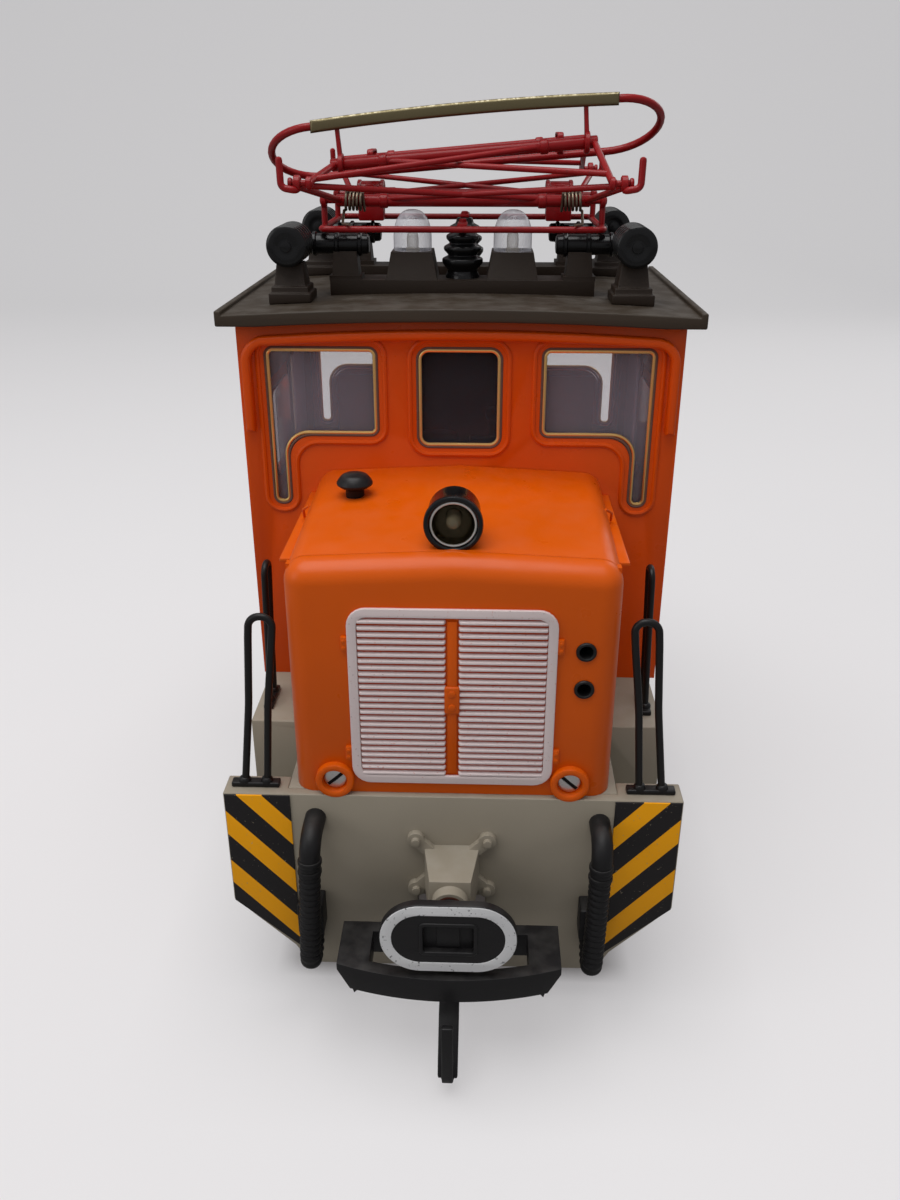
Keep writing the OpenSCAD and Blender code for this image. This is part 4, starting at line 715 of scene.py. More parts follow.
def makeHoodParts():
    parts = [makeHood()]
    ring = makeRing()
    parts += [ring, mirrored(ring)]
    strip = boxShape((hoodHalf - 0.6, hoodEnd + 10.5, deckTop + 49.7),
                     (hoodHalf + 2.0, cabFront, deckTop + 50.5), 0.2)
    bead = wireShape([rounded([(hoodHalf - 1.2, -60, hoodTop - 1.3), (hoodHalf + 0.4, -58.6, hoodTop - 2.6),
                               (hoodHalf + 0.5, -57, hoodTop - 5)], 1)], 0.3)
    parts += [strip, mirrored(strip), bead, mirrored(bead)]
    # middle bar of the grille, its latch, and four hinge lugs at the rim
    gz = middle("grille_front", 2)
    parts.append(boxShape((-1.0, hoodEnd - 0.62, gz - 18), (1.0, hoodEnd + 1, gz + 18), 0.2))
    parts.append(boxShape((-1.6, hoodEnd - 1.1, gz - 3.2), (1.6, hoodEnd, gz + 3.2), 0.4, 3))
    parts.append(rodShape((0, hoodEnd - 1.35, gz + 1.6), (0, hoodEnd - 0.8, gz + 1.6), 0.8, 0.2))
    parts.append(rodShape((0, hoodEnd - 1.35, gz - 1.6), (0, hoodEnd - 0.8, gz - 1.6), 0.8, 0.2))
    gx = high("grille_front", 0)
    for z in (gz + 12.6, gz - 13.6):
        lug = joined([boxShape((gx - 0.2, hoodEnd - 0.75, z - 1.7), (gx + 1.3, hoodEnd + 0.5, z + 1.7), 0.25),
                      rodShape((gx + 0.7, hoodEnd - 0.95, z + 0.8), (gx + 0.7, hoodEnd - 0.6, z + 0.8), 0.4,
                               0.1, 16),
                      rodShape((gx + 0.7, hoodEnd - 0.95, z - 0.8), (gx + 0.7, hoodEnd - 0.6, z - 0.8), 0.4,
                               0.1, 16)])
        parts += [lug, mirrored(lug)]
    return joined(parts)


frontHood = makeHoodParts()
rearHood = turnedRound(frontHood)
finished(frontHood, "hoodFront", "orangePlastic", body, ["hood_front"])
finished(rearHood, "hoodRear", "orangePlastic", body, ["hood_rear"])
print("hoods")

# ---- radiator grille ----

grilleParts = {"rows": 25, "border": 2.0, "corner": 4.0}


def makeGrille():
    gx, gz = high("grille_front", 0), middle("grille_front", 2)
    half = (high("grille_front", 2) - low("grille_front", 2)) / 2
    b = grilleParts["border"]
    rim = plateShape([arcs(-gx, gz - half, gx, gz + half, grilleParts["corner"]),
                      arcs(-gx + b, gz - half + b, gx - b, gz + half - b, grilleParts["corner"] - b)],
                     hoodEnd - 0.85, hoodEnd + 0.1, "XZ", 0.2)
    rows = grilleParts["rows"]
    pitchZ = 2 * (half - b) / rows
    blade = boxShape((1.15, hoodEnd - 0.95, -0.56), (gx - b + 0.2, hoodEnd + 0.2, 0.5), 0)
    # the upper face slopes forwards and down, the ends are drawn in
    chosen(blade, "EDGE", lambda c, d: c.y < hoodEnd - 0.9 and c.z > 0 and abs(d.x) > 5)
    bpy.ops.transform.translate(value=(0, 0, -0.5 * mm))
    leave()
    chosen(blade, "VERT", lambda c: c.y < hoodEnd - 0.9 and c.x < 2)
    bpy.ops.transform.translate(value=(0.45 * mm, 0, 0))
    leave()
    chosen(blade, "VERT", lambda c: c.y < hoodEnd - 0.9 and c.x > 5)
    bpy.ops.transform.translate(value=(-0.45 * mm, 0, 0))
    leave()
    softened(blade, 0.16, 2, 30)
    blades = []
    for row in range(rows):
        copyRow = moved(blade, z=gz - half + b + (row + 0.5) * pitchZ)
        blades += [copyRow, mirrored(copyRow)]
    bpy.data.objects.remove(blade)
    return joined([rim] + blades)


printed = moulded("grillePrint", shade(222, 206, 204), 0.34, 0.02, 0.06)
depth = abs(printed.axis(1)) - abs(hoodEnd)      # millimetres in front of the hood
printed.paint(1 - (depth + (printed.noise(0.8) - 0.5) * 0.2).between(0.14, 0.34), shade(206, 74, 26))
printed.paint(printed.specks(1.1, 0.12) * printed.noise(9).between(0.5, 0.6) * 0.5, shade(120, 90, 80))
printed.paint(printed.noise(0.6, 5).between(0.66, 0.7) * 0.55, shade(200, 110, 80))
keep(printed)
frontGrille = makeGrille()
rearGrille = turnedRound(frontGrille)
finished(frontGrille, "grilleFront", "grillePrint", body, ["grille_front"])
finished(rearGrille, "grilleRear", "grillePrint", body, ["grille_rear"])
print("grilles")

# ---- headlamp, screws, sockets and filler cap ----

lampSpot = (0, low("headlamp_housings", 1), middle("headlamp_reflectors", 2))
lampBack = lampSpot[1] + 9
lampShell = turnedShape(
    [(5.2, 9.0), (5.4, 8.7), (5.4, 1.9), (5.55, 1.75), (5.9, 1.6), (6.0, 1.3), (6.0, 0.4), (5.85, 0.1),
     (5.6, 0.0), (5.2, 0.0), (4.95, 0.2), (4.9, 0.5), (4.9, 7.0)], lampSpot, "Y", 64)
foot = boxShape((-3, lampSpot[1] + 2.2, lampSpot[2] - 6.7), (3, lampBack - 1, lampSpot[2] - 4.6), 0.4)
finished(bothEnds(joined([lampShell, foot])), "headlampShells", "blackGloss", body,
         ["headlamp_housings"])
reflector = turnedShape([(4.85, 6.9), (4.85, 0.9), (4.7, 0.8), (4.35, 0.95), (4.25, 1.3), (4.1, 2.6),
                         (3.6, 4.0), (2.6, 5.2), (1.6, 5.9), (1.55, 6.9)], lampSpot, "Y", 48)
finished(bothEnds(reflector), "headlampReflectors", "lampChrome", body,
         ["headlamp_reflectors"])
rimSizes = {"radius": 4.55, "behindLip": 0.72, "wire": 0.3, "points": 64}
rimTurns = [i * 2 * pi / rimSizes["points"] for i in range(rimSizes["points"])]
rim = wireShape([[(rimSizes["radius"] * cos(turn), lampSpot[1] + rimSizes["behindLip"],
                   lampSpot[2] + rimSizes["radius"] * sin(turn)) for turn in rimTurns]], rimSizes["wire"], 8,
                True)
finished(bothEnds(rim), "headlampRims", "lampRim")


screwSizes = {
    "back": 0.3,                                 # how far the head stands in front of the hood
    "slotTurn": 42,                              # degrees
}


def atScrew(obj):
    # turns a bar like the slot and sets it on the screw's head
    obj.rotation_euler = (0, radians(screwSizes["slotTurn"]), 0)
    obj.location = Vector((screwX, hoodEnd - screwSizes["back"], screwZ)) * mm
    settle(obj)
    return obj


def makeScrew():
    head = turnedShape([(1.0, 8), (1.0, 1.2), (2.4, 1.2), (2.5, 1.0), (2.5, 0.35), (2.3, 0.08), (1.9, 0.0),
                        (0.02, -0.1)],
                       (screwX, hoodEnd - screwSizes["back"], screwZ), "Y", 48)
    slotCut = atScrew(boxShape((-3, -0.6, -0.4), (3, 0.24, 0.4), 0))
    applied(head, "BOOLEAN", object=slotCut, operation="DIFFERENCE", solver="EXACT")
    bpy.data.objects.remove(slotCut)
    return head


screw = makeScrew()
finished(bothEnds(joined([screw, mirrored(screw)])), "hoodScrews", "screwSteel", body,
         ["hood_screws"])
# painted shadow: a thin black sheet at the floor of each screw slot, where the slot lies in shade
slotShadow = atScrew(boxShape((-2.2, 0.1, -0.38), (2.2, 0.26, 0.38), 0.04))
finished(bothEnds(joined([slotShadow, mirrored(slotShadow)])), "screwSlotShadows", "standBlack")

sockets = []
for z in socketZ:
    sockets.append(turnedShape([(1.6, 7.9), (1.6, 0.6), (2.1, 0.6), (2.1, 0.25), (1.95, 0.05), (1.6, 0.0),
                                (1.42, 0.15), (1.4, 0.4), (1.4, 7.0)], (socketX, hoodEnd - 0.6, z), "Y", 40))
finished(bothEnds(joined(sockets)), "jackSockets", "blackPlastic", body, ["jack_sockets"])

capX, capY = -23.2, -55.0
capTop = high("filler_caps", 2)
cap = turnedShape([(2.1, -9.5), (2.1, -3.9), (2.3, -3.6), (3.3, -3.1), (4.0, -2.6), (4.1, -2.2), (3.9, -1.7),
                   (3.3, -0.9), (2.9, -0.5), (2.4, -0.25), (0.8, 0), (0.02, 0.0)], (capX, capY, capTop), "Z",
                  40)
finished(bothEnds(cap), "fillerCaps", "blackPlastic", body, ["filler_caps"])
print("lamp, screws, sockets, cap")

# ---- cab ----

windowShape = {
    "middle": (-10.1, 61.8, 10.1, 85.8, 3.0),    # left, low, right, high above the deck, corner radius
    "innerSide": 18.9, "outerSide": 45.5, "sideLow": 64.5, "legInner": 40.7, "legLow": 47.3, "top": 85.8,
    "corner": 2.2, "step": 5.5,
    "sideHalf": 7.5, "sideWinLow": 46.0, "sideWinHigh": 72.0, "doorFrame": 3.5, "doorWinHigh": 68.0,
    "gasket": (0.3, 0.34),                       # how far inside the opening, radius
    "gold": (0.88, 0.42),
    "lip": (-1.5, 0.62),                         # raised lip in the wall round the opening
}
deckZ = deckTop
cabHalf = low("cab_door_right", 0) + 1.5         # outer face of the cab's side wall
cabEnd = -cabFront


def cornerWindow(grow):
    v = windowShape
    a, b, t = v["innerSide"] - grow, v["outerSide"] + grow, v["top"] + grow
    leg, knee, foot = v["legInner"] - grow, v["sideLow"] - grow, v["legLow"] - grow
    r = v["corner"] + grow
    return rounded([(a, knee, 0), (leg, knee, 0), (leg, foot, 0), (b, foot, 0), (b, t, 0), (a, t, 0)],
                   [r, v["step"], r, r, r, r], 8, True)


def middleWindow(grow):
    left, bottom, right, top, r = windowShape["middle"]
    return roundBox(left - grow, bottom - grow, right + grow, top + grow, r + grow, 8)


def sideWindow(centre, grow):
    v = windowShape
    half = v["sideHalf"] + grow
    return roundBox(centre - half, v["sideWinLow"] - grow, centre + half, v["sideWinHigh"] + grow, 2 + grow)


def doorWindow(grow):
    v = windowShape
    half = doorHalf - v["doorFrame"] + grow
    return roundBox(-half, deckZ + v["sideWinLow"] - grow, half, deckZ + v["doorWinHigh"] + grow, 2 + grow)


def beadOn(outline, plane, level, radius, lift=0.0):
    # a bead that follows an outline on a wall
    if plane == "front":
        route = [(p.x, level, p.y + lift) for p in outline]
    else:
        route = [(level, p.x, p.y + lift) for p in outline]
    return wireShape([route], radius, 8, True)


cabShell = softCopy("cab_shell", 0.22, 2, 40, lambda c, d: abs(c.y) > cabEnd + 2.4, 0.85)
finished(cabShell, "cabShell", "orangeCab", body, ["cab_shell"])
golds, seals, lips = [], [], []
doorHalf = 12.5
for outline in (cornerWindow, middleWindow):
    for pile, key, level in ((golds, "gold", 0.3), (seals, "gasket", 0.15), (lips, "lip", 0.12)):
        inset, radius = windowShape[key]
        pile.append(beadOn(outline(-inset), "front", cabFront + level, radius, deckZ))
        if outline is cornerWindow:
            pile.append(mirrored(pile[-1]))
sideY = (doorHalf + 3 + cabEnd - 4) / 2
gold, seal, lip = joined(golds), joined(seals), joined(lips)
golds, seals, lips = [gold, turnedRound(gold)], [seal, turnedRound(seal)], [lip, turnedRound(lip)]
for centre in (-sideY, sideY):
    gold = beadOn(sideWindow(centre, -1.0), "side", cabHalf + 0.5, 0.32, deckZ)
    seal = beadOn(sideWindow(centre, -0.35), "side", cabHalf + 0.4, 0.42, deckZ)
    golds += [gold, mirrored(gold)]
    seals += [seal, mirrored(seal)]
finished(joined(lips), "windowLips", "orangeCab")
finished(joined(golds), "windowBeads", "goldTrim")
finished(joined(seals), "windowSeals", "gasketGrey")
for side, sign in (("right", 1), ("left", -1)):
    door = softCopy("cab_door_" + side, 0.18, 2, 40)
    bead = beadOn(doorWindow(0.35), "side", sign * (cabHalf + 0.02), 0.3)
    panel = beadOn(roundBox(-doorHalf + 3.6, deckZ + 6.6, doorHalf - 3.6, deckZ + 40.2, 1.2, 4),
                   "side", sign * (cabHalf - 0.5), 0.35)
    finished(joined([door, panel]), "cabDoor_" + side, "orangePlastic", side + "_door",
             ["cab_door_" + side])
    finished(bead, "doorBead_" + side, "goldTrim", side + "_door")
print("cab")

# ---- warning plates ----

plateShapeSizes = {"inner": 35.3, "outer": 49.7, "top": 57.75, "outerLow": 28.6, "innerLow": 15.3,
                   "thick": 0.35}
warning = moulded("warningPaint", shade(30, 27, 28), 0.38, 0.012, 0.05)
across = abs(warning.axis(0))
stripe = warning.axis(2) + (50 - across) * 1.115
band = (stripe - 47.5) % 13.4
amber = ((band - 0.12) * 12).least((6.45 - band) * 12).between(0, 1)
warning.paint(amber, shade(248, 168, 0))
warning.paint(warning.noise(0.7, 5).between(0.68, 0.72) * 0.5, shade(150, 140, 120))
keep(warning)
v = plateShapeSizes
plate = plateShape([[(v["inner"], v["innerLow"]), (v["outer"], v["outerLow"]), (v["outer"], v["top"]),
                     (v["inner"], v["top"])]], headFace - v["thick"], headFace + 0.1, "XZ", 0.12)
plates = joined([plate, mirrored(plate)])
finished(bothEnds(plates), "warningPlates", "warningPaint")

# ---- chassis ----

chassis = softCopy("chassis_frame", 0.3, 2, 40)
finished(chassis, "chassisFrame", "greyPlastic", body, ["chassis_frame"])
for end in ("front", "rear"):
    beam = softCopy("headstock_" + end, 0.35, 3, 40)
    finished(beam, "headstock_" + end, "greyPlastic", body, ["headstock_" + end])
frames = softCopy("side_frames", 0.25, 2, 40)
details = []
boxX = high("side_frames", 0)
for s in (-1, 1):
    y = s * 42
    axleZ = middle("axle_front", 2)
    details.append(turnedShape([(3.9, -2), (3.9, 0.3), (3.7, 0.5), (2.6, 0.55), (2.4, 0.2), (0.9, 0.2),
                                (0.8, 0.5), (0.02, 0.6)],
                               (boxX, y, axleZ), "X", 40))
    for dy in (-4.6, 4.6):
        for dz in (-5.1, 5.1):
            details.append(turnedShape([(0.75, -1), (0.75, 0.45), (0.6, 0.6), (0.02, 0.62)],
                                       (boxX, y + dy, axleZ + dz), "X", 6))
    for dy in (-13.2, 13.2):
        details.append(boxShape((boxX - 6.8, y + dy - 0.9, axleZ + 8.8),
                                (boxX - 2.4, y + dy + 0.9, axleZ + 15.0), 0.3))
        details.append(rodShape((boxX - 5, y + dy, axleZ + 10.6), (boxX - 1.6, y + dy, axleZ + 10.6), 0.75,
                                0.2, 16))
for y in (-58, -30, -15, 0, 15, 30, 58):
    details.append(turnedShape([(0.8, -1), (0.8, 0.3), (0.6, 0.55), (0.02, 0.65)],
                               (boxX - 6, y, deckZ - 5), "X", 20))
detail = joined(details)
finished(joined([frames, detail, mirrored(detail)]), "sideFrames", "greyPlastic", body,
         ["side_frames"])
print("chassis")

# ---- buffers ----

bufferShape = {"halfWide": 14.15, "halfHigh": 8.65, "band": 2.3, "rim": 0.2, "recess": (5.15, 3.3)}
bracketFront = softCopy("buffer_brackets", 0.3, 3, 38)
ringY = headFace - 11.5
finished(bracketFront, "bufferBrackets", "greyPlastic", body, ["buffer_brackets"])
bufferZ = middle("buffer_front", 2)
faceY = low("buffer_front", 1)
collar = turnedShape([(2.65, 2.0), (3.1, 2.2), (3.15, 0.05), (3.0, -0.05), (2.62, -0.05), (2.6, 1.4)],
                     (0, ringY - 2.62, bufferZ), "Y", 40)
finished(bothEnds(collar), "bracketCollars", "rustyCollar")


def stadium(halfWide, halfHigh):
    return arcs(-halfWide, bufferZ - halfHigh, halfWide, bufferZ + halfHigh, halfHigh - 0.02, 14)


for end in ("front", "rear"):
    v = bufferShape
    rx, rz = v["recess"]
    hole = arcs(-rx, bufferZ - rz, rx, bufferZ + rz, 0.5, 3)
    disc = plateShape([stadium(v["halfWide"], v["halfHigh"]), hole], faceY, faceY + 2, "XZ", 0.3, 3)
    back = boxShape((-rx - 1, faceY + 1.2, bufferZ - rz - 1), (rx + 1, faceY + 1.9, bufferZ + rz + 1), 0.1)
    lipW = boxShape((-2.4, faceY + 0.75, bufferZ - 2.6), (2.4, faceY + 1.4, bufferZ + 2.6), 0.25)
    funnel = plateShape([arcs(-rx - 0.9, bufferZ - rz - 0.9, rx + 0.9, bufferZ + rz + 0.9, 1.2, 4), hole],
                        faceY - 0.3, faceY + 0.5, "XZ", 0.35, 3)
    stem = turnedShape([(2.5, 1.5), (2.5, 3.5), (2.5, high("buffer_front", 1) - faceY - 0.3),
                        (2.2, high("buffer_front", 1) - faceY)], (0, faceY, bufferZ), "Y", 40)
    neck = turnedShape([(4.2, 1.7), (4.2, 2.2), (3.6, 3.0), (2.6, 3.3), (2.4, 3.3)], (0, faceY, bufferZ),
                       "Y", 40)
    ring = plateShape([stadium(v["halfWide"] - v["rim"], v["halfHigh"] - v["rim"]),
                       stadium(v["halfWide"] - v["rim"] - v["band"], v["halfHigh"] - v["rim"] - v["band"])],
                      faceY - 0.12, faceY + 0.2, "XZ", 0.05)
    whole = joined([disc, back, lipW, funnel, stem, neck])
    if end == "rear":
        whole, ring = settled(whole), settled(ring)
    finished(whole, "buffer_" + end, "blackPlastic", end + "_buffer", ["buffer_" + end])
    finished(ring, "bufferRing_" + end, "whitePaint", end + "_buffer")
for end in ("front", "rear"):
    loop = softCopy("coupler_" + end, 0.35, 3, 38)
    finished(loop, "coupler_" + end, "blackPlastic", end + "_coupler", ["coupler_" + end])
    claw = softCopy("hook_" + end, 0.28, 3, 38)
    finished(claw, "hook_" + end, "blackPlastic", end + "_hook", ["hook_" + end])
print("buffers and couplers")

# ---- brake hoses ----

hoseShape = {
    "topLeft": 29.9, "topRight": 32.2, "lowX": 31.6, "out": 8.6, "radius": 2.1, "rib": 0.15, "pitch": 1.6,
    "turn": 3.0,
    "drop": 5.8,                                 # from the deck down to where the hose leaves the plate
}


def makeHose(topX):
    v = hoseShape
    topZ, lowZ = deckZ - v["drop"], low("brake_hoses", 2) + 2.3 + v["turn"]
    face = headFace

    def xAt(z):
        return topX + (v["lowX"] - topX) * (topZ - z) / (topZ - lowZ)

    elbow = rounded([(topX, face + 0.2, topZ), (topX, face - v["out"], topZ),
                     (xAt(topZ - 9), face - v["out"], topZ - 9)], 4.6, 10)
    smooth = wireShape([elbow], 2.3, 20)
    ferruleTop, ferruleLow = topZ - 4.6, topZ - 8.4
    collars = []
    for z0, z1, r in ((ferruleTop, ferruleTop - 1.3, 2.62), (ferruleTop - 1.3, ferruleLow + 1.2, 2.42),
                      (ferruleLow + 1.2, ferruleLow, 2.62)):
        collars.append(rodShape((xAt(z0), face - v["out"], z0), (xAt(z1), face - v["out"], z1), r, 0.3, 32))
    path = rounded([(xAt(ferruleLow + 1), face - v["out"], ferruleLow + 1),
                    (v["lowX"], face - v["out"], lowZ - v["turn"]),
                    (v["lowX"], face - v["out"] + 2 * v["turn"], lowZ - v["turn"]),
                    (v["lowX"], face - v["out"] + 2 * v["turn"], high("brake_hoses", 2) - 30)], v["turn"], 14)
    fine = [path[0]]
    for a, b in zip(path, path[1:]):
        count = max(1, round((b - a).length / (v["pitch"] / 6)))
        fine += [a.lerp(b, (k + 1) / count) for k in range(count)]
    run, lengths = 0.0, [0.0]
    for a, b in zip(fine, fine[1:]):
        run += (b - a).length
        lengths.append(run)

    def ribAt(i):
        return 1 + v["rib"] * (0.5 + 0.5 * cos(2 * pi * lengths[i] / v["pitch"])) ** 0.7

    ribbed = wireShape([fine], v["radius"], 20, swell=ribAt)
    clampLow, clampHigh = deckZ - 34.5, deckZ - 26
    clamp = boxShape((v["lowX"] - 2.9, face - 5.4, clampLow), (v["lowX"] + 2.9, face + 0.05, clampHigh), 0.5,
                     3)
    return joined([smooth, ribbed, clamp] + collars)


leftHose = makeHose(hoseShape["topLeft"])
hoses = joined([makeHose(hoseShape["topRight"]), mirrored(leftHose)])
bpy.data.objects.remove(leftHose)
finished(bothEnds(hoses), "brakeHoses", "hoseRubber", body, ["brake_hoses"])

# ---- handrails ----

railSizes = {"radius": 0.8, "gap": 2.45, "bow": 0.4, "height": 42.0, "lean": 4.0, "deckHeight": 38.0,
             "deckLean": 1.2, "x": 43.2, "foot": (5.3, 1.2, 1.2)}


def makeRail(spot, across, lean, height):
    # two bowed uprights joined by a round top, on a foot; across points from one upright to the other
    v = railSizes
    half, bow, top = v["gap"], v["bow"], height - v["radius"]
    spot, across = Vector(spot), Vector(across)
    corners = [(-half, 0.6), (bow - half, top * 0.5), (-half, top * 0.88), (-half, top),
               (half, top), (half, top * 0.88), (half - bow, top * 0.5), (half, 0.6)]
    route = [spot + across * u + Vector((-lean * z / top, 0, z)) for u, z in corners]
    parts = [wireShape([rounded(route, [0, 90, 20, half, half, 20, 90, 0], 8)], v["radius"], 14)]
    fx, fy, fz = v["foot"]
    reach = across * fx + Vector((across.y, across.x, 0)) * fy
    parts.append(boxShape(spot - reach, spot + reach + Vector((0, 0, fz)), 0.35, 3))
    for u in (-half, half):
        parts.append(turnedShape([(1.35, 0), (1.35, 0.5), (1.1, 1.0), (0.8, 1.2)],
                                 spot + across * u + Vector((0, 0, fz - 0.2)), "Z", 20))
    return joined(parts)


rail = makeRail((railSizes["x"], headFace + 3.4, deckZ), (1, 0, 0), railSizes["lean"], railSizes["height"])
rails = joined([rail, mirrored(rail)])
finished(bothEnds(rails), "endHandrails", "blackWire", body, ["end_handrails"])
rail = makeRail((46.8, cabFront - 14, deckZ), (0, 1, 0), railSizes["deckLean"], railSizes["deckHeight"])
rails = joined([rail, mirrored(rail)])
finished(bothEnds(rails), "deckHandrails", "blackWire", body, ["deck_handrails"])
print("hoses and handrails")

# ---- roof ----

roof = softCopy("cab_roof", 0.4, 3, 40)
finished(roof, "cabRoof", "roofPlastic", body, ["cab_roof"])
pedestals = softCopy("corner_pedestals", 0.4, 3, 38)
finished(pedestals, "cornerPedestals", "postPlastic", body, ["corner_pedestals"])
bridges = softCopy("roof_bridges", 0.32, 3, 38)
finished(bridges, "roofBridges", "postPlastic", body, ["roof_bridges"])

insulatorShape = {"corner": (40.0, 25.0, 106.8), "radius": 4.6, "ribs": 5, "step": 2.475,
                  "inner": (30.2, 15.2, 105.9), "barRadius": 2.4, "barHalf": 7.5}


def ribbedProfile(ribs, step, core, radius, half):
    profile = []
    for k in range(ribs):
        c = (k - (ribs - 1) / 2) * step
        profile += [(core, c - half * 2), (radius - 0.25, c - half * 1.6), (radius, c - half),
                    (radius, c + half), (radius - 0.25, c + half * 1.6), (core, c + half * 2)]
    return profile


v = insulatorShape
x, y, z = v["corner"]
ribs = ribbedProfile(v["ribs"], v["step"], 3.7, v["radius"], 0.42)
corner = turnedShape([(0.8, -6.15), (1.2, -6.05), (1.3, -5.75), (2.0, -5.7), (2.3, -5.8)] + ribs +
                     [(2.3, 5.8), (2.0, 5.7), (1.3, 5.75), (1.2, 6.05), (0.8, 6.15)], (x, -y, deckZ + z),
                     "Y", 48)
x, y, z = v["inner"]
half = v["barHalf"]
bar = turnedShape([(1.2, -half - 0.3), (1.9, -half - 0.2), (2.3, -half + 0.2)] +
                  ribbedProfile(3, 5.5, v["barRadius"], v["barRadius"] + 0.45, 0.3) +
                  [(2.3, half - 0.2), (1.9, half + 0.2), (1.2, half + 0.3)], (x, -y, deckZ + z), "X", 40)
half4 = joined([corner, bar])
half4 = joined([half4, mirrored(half4)])
finished(bothEnds(half4), "roofInsulators", "blackGloss", body, ["roof_insulators"])
leads = softCopy("lead_in_insulators", 0.3, 3, 30)
finished(leads, "leadInInsulators", "blackGloss", body, ["lead_in_insulators"])

domeX, domeY = 12.2, -12.0
domeFoot = low("warning_lamp_domes", 2)
domeHeight = high("warning_lamp_domes", 2) - domeFoot
profile = [(4.65, 0.05)]
for k in range(11):
    a = k / 10 * pi / 2
    profile.append((max(4.65 * cos(a) ** 0.8 if k < 10 else 0.02, 0.02), 3.6 + (domeHeight - 3.6) * sin(a)))
outer = turnedShape([(3.9, 0.05)] + profile[:-1], (domeX, domeY, domeFoot), "Z", 48)
domes = joined([outer, mirrored(outer)])
finished(domes, "warningDomes", "domeClear", body, ["warning_lamp_domes"])
bulbs = []
bulb = turnedShape([(1.7, -0.4), (1.7, 1.0), (1.4, 1.3), (1.45, 3.2), (1.3, 4.4), (0.8, 5.3), (0.05, 5.6)],
                   (domeX, domeY, domeFoot), "Z", 24)
bulbs += [bulb, mirrored(bulb)]
lampBulb = turnedShape([(0.9, 1.0), (1.4, 1.9), (1.5, 3.0), (1.5, 5.9)], (0, lampSpot[1] - 0.2, lampSpot[2]),
                       "Y", 24)
tip = turnedShape([(0.05, 0.75), (0.5, 0.8), (0.9, 1.0)], (0, lampSpot[1] - 0.2, lampSpot[2]), "Y", 24)
bulbs.append(bothEnds(joined([lampBulb, tip])))
finished(joined(bulbs), "lampBulbs", "bulbClear", body, ["lamp_bulbs"])
print("roof")

# ---- pantograph ----

pantograph = {
    "arm": 28.5, "shaftY": 12.0, "rest": 10.5, "leanAngle": 4.7, "shaftUp": 115.5, "baseUp": 109.55,
    "baseHalf": 33.5, "baseY": 19.0, "shaftHalf": 30.5, "apexHalf": 31.5, "lowerElbow": 34.9,
              "upperElbow": 32.4,
    "brace": 19.0, "postX": 29.0, "clipX": 24.0, "stripUp": 134.6, "stripHalf": 35.8, "arch": 0.9,
    "hornOut": 11.4, "hornDrop": 11.6, "ringBack": 8.0,
    "wire": 0.75, "tube": 1.4, "ring": 0.92,
}
q = pantograph
shaftY, shaftZ, baseZ = q["shaftY"], deckZ + q["shaftUp"], deckZ + q["baseUp"]
rest, leanTan = radians(q["rest"]), tan(radians(q["leanAngle"]))
elbowY, elbowZ = shaftY + q["arm"] * cos(rest), shaftZ + q["arm"] * sin(rest)
apexZ = shaftZ + 2 * q["arm"] * sin(rest)
stripZ = deckZ + q["stripUp"]


def eyeAt(spot, radius=1.75, half=0.65):
    return turnedShape([(radius - 0.25, -half), (radius, -half + 0.2), (radius, half - 0.2),
                        (radius - 0.25, half), (0.85, half), (0.8, half + 0.25), (0.4, half + 0.35)], spot,
                       "X", 28)


def mirrorBoth(shape):
    return joined([shape, mirrored(shape)])


frameWire = rounded([(-q["baseHalf"], -q["baseY"], baseZ), (q["baseHalf"], -q["baseY"], baseZ),
                     (q["baseHalf"], q["baseY"], baseZ), (-q["baseHalf"], q["baseY"], baseZ)], 1.6, 6, True)
base = [wireShape([frameWire], q["wire"], 12, True)]
for y in (-shaftY, shaftY):
    upright = joined([wireShape([[(q["baseHalf"], y, baseZ - 0.3), (q["baseHalf"], y, shaftZ - 1.2)]], 0.72,
                                12),
                      eyeAt((q["baseHalf"], y, shaftZ))])
    base.append(mirrorBoth(upright))
drum = turnedShape([(3.3, -3.5), (3.6, -3.3), (3.6, -2.6), (3.3, -2.4), (3.3, 2.4), (3.6, 2.6), (3.6, 3.3),
                    (3.3, 3.5), (1.75, 3.5), (1.72, 3.1)], (24.5, shaftY, shaftZ), "X", 36)
drumBack = turnedShape([(3.2, -3.1), (3.2, -2.9)], (24.5, shaftY, shaftZ), "X", 36)
footPlate = boxShape((21.2, shaftY - 2.5, baseZ - 0.4), (27.8, shaftY + 2.5, shaftZ - 1.2), 0.35)
tongue = boxShape((22.5, shaftY, baseZ - 0.6), (26.5, q["baseY"] + 0.4, baseZ + 0.6), 0.3)
catch = boxShape((23.4, shaftY - 3.9, shaftZ + 0.2), (25.6, shaftY - 2.6, shaftZ + 2.6), 0.3)
base.append(mirrorBoth(joined([drum, drumBack, footPlate, tongue, catch])))
leadZ = high("lead_in_insulators", 2) + 0.02
lead = joined([boxShape((-1.2, -q["baseY"], leadZ), (1.2, -shaftY + 1.5, leadZ + 0.8), 0.25),
               turnedShape([(1.0, 0.6), (1.0, 1.3), (0.8, 1.5), (0.02, 1.55)], (0, -shaftY + 0.1, leadZ),
                           "Z", 6)])
base += [lead, turnedRound(lead)]
finished(joined(base), "pantographBase", "pantographRed", body, ["pantograph_base"])

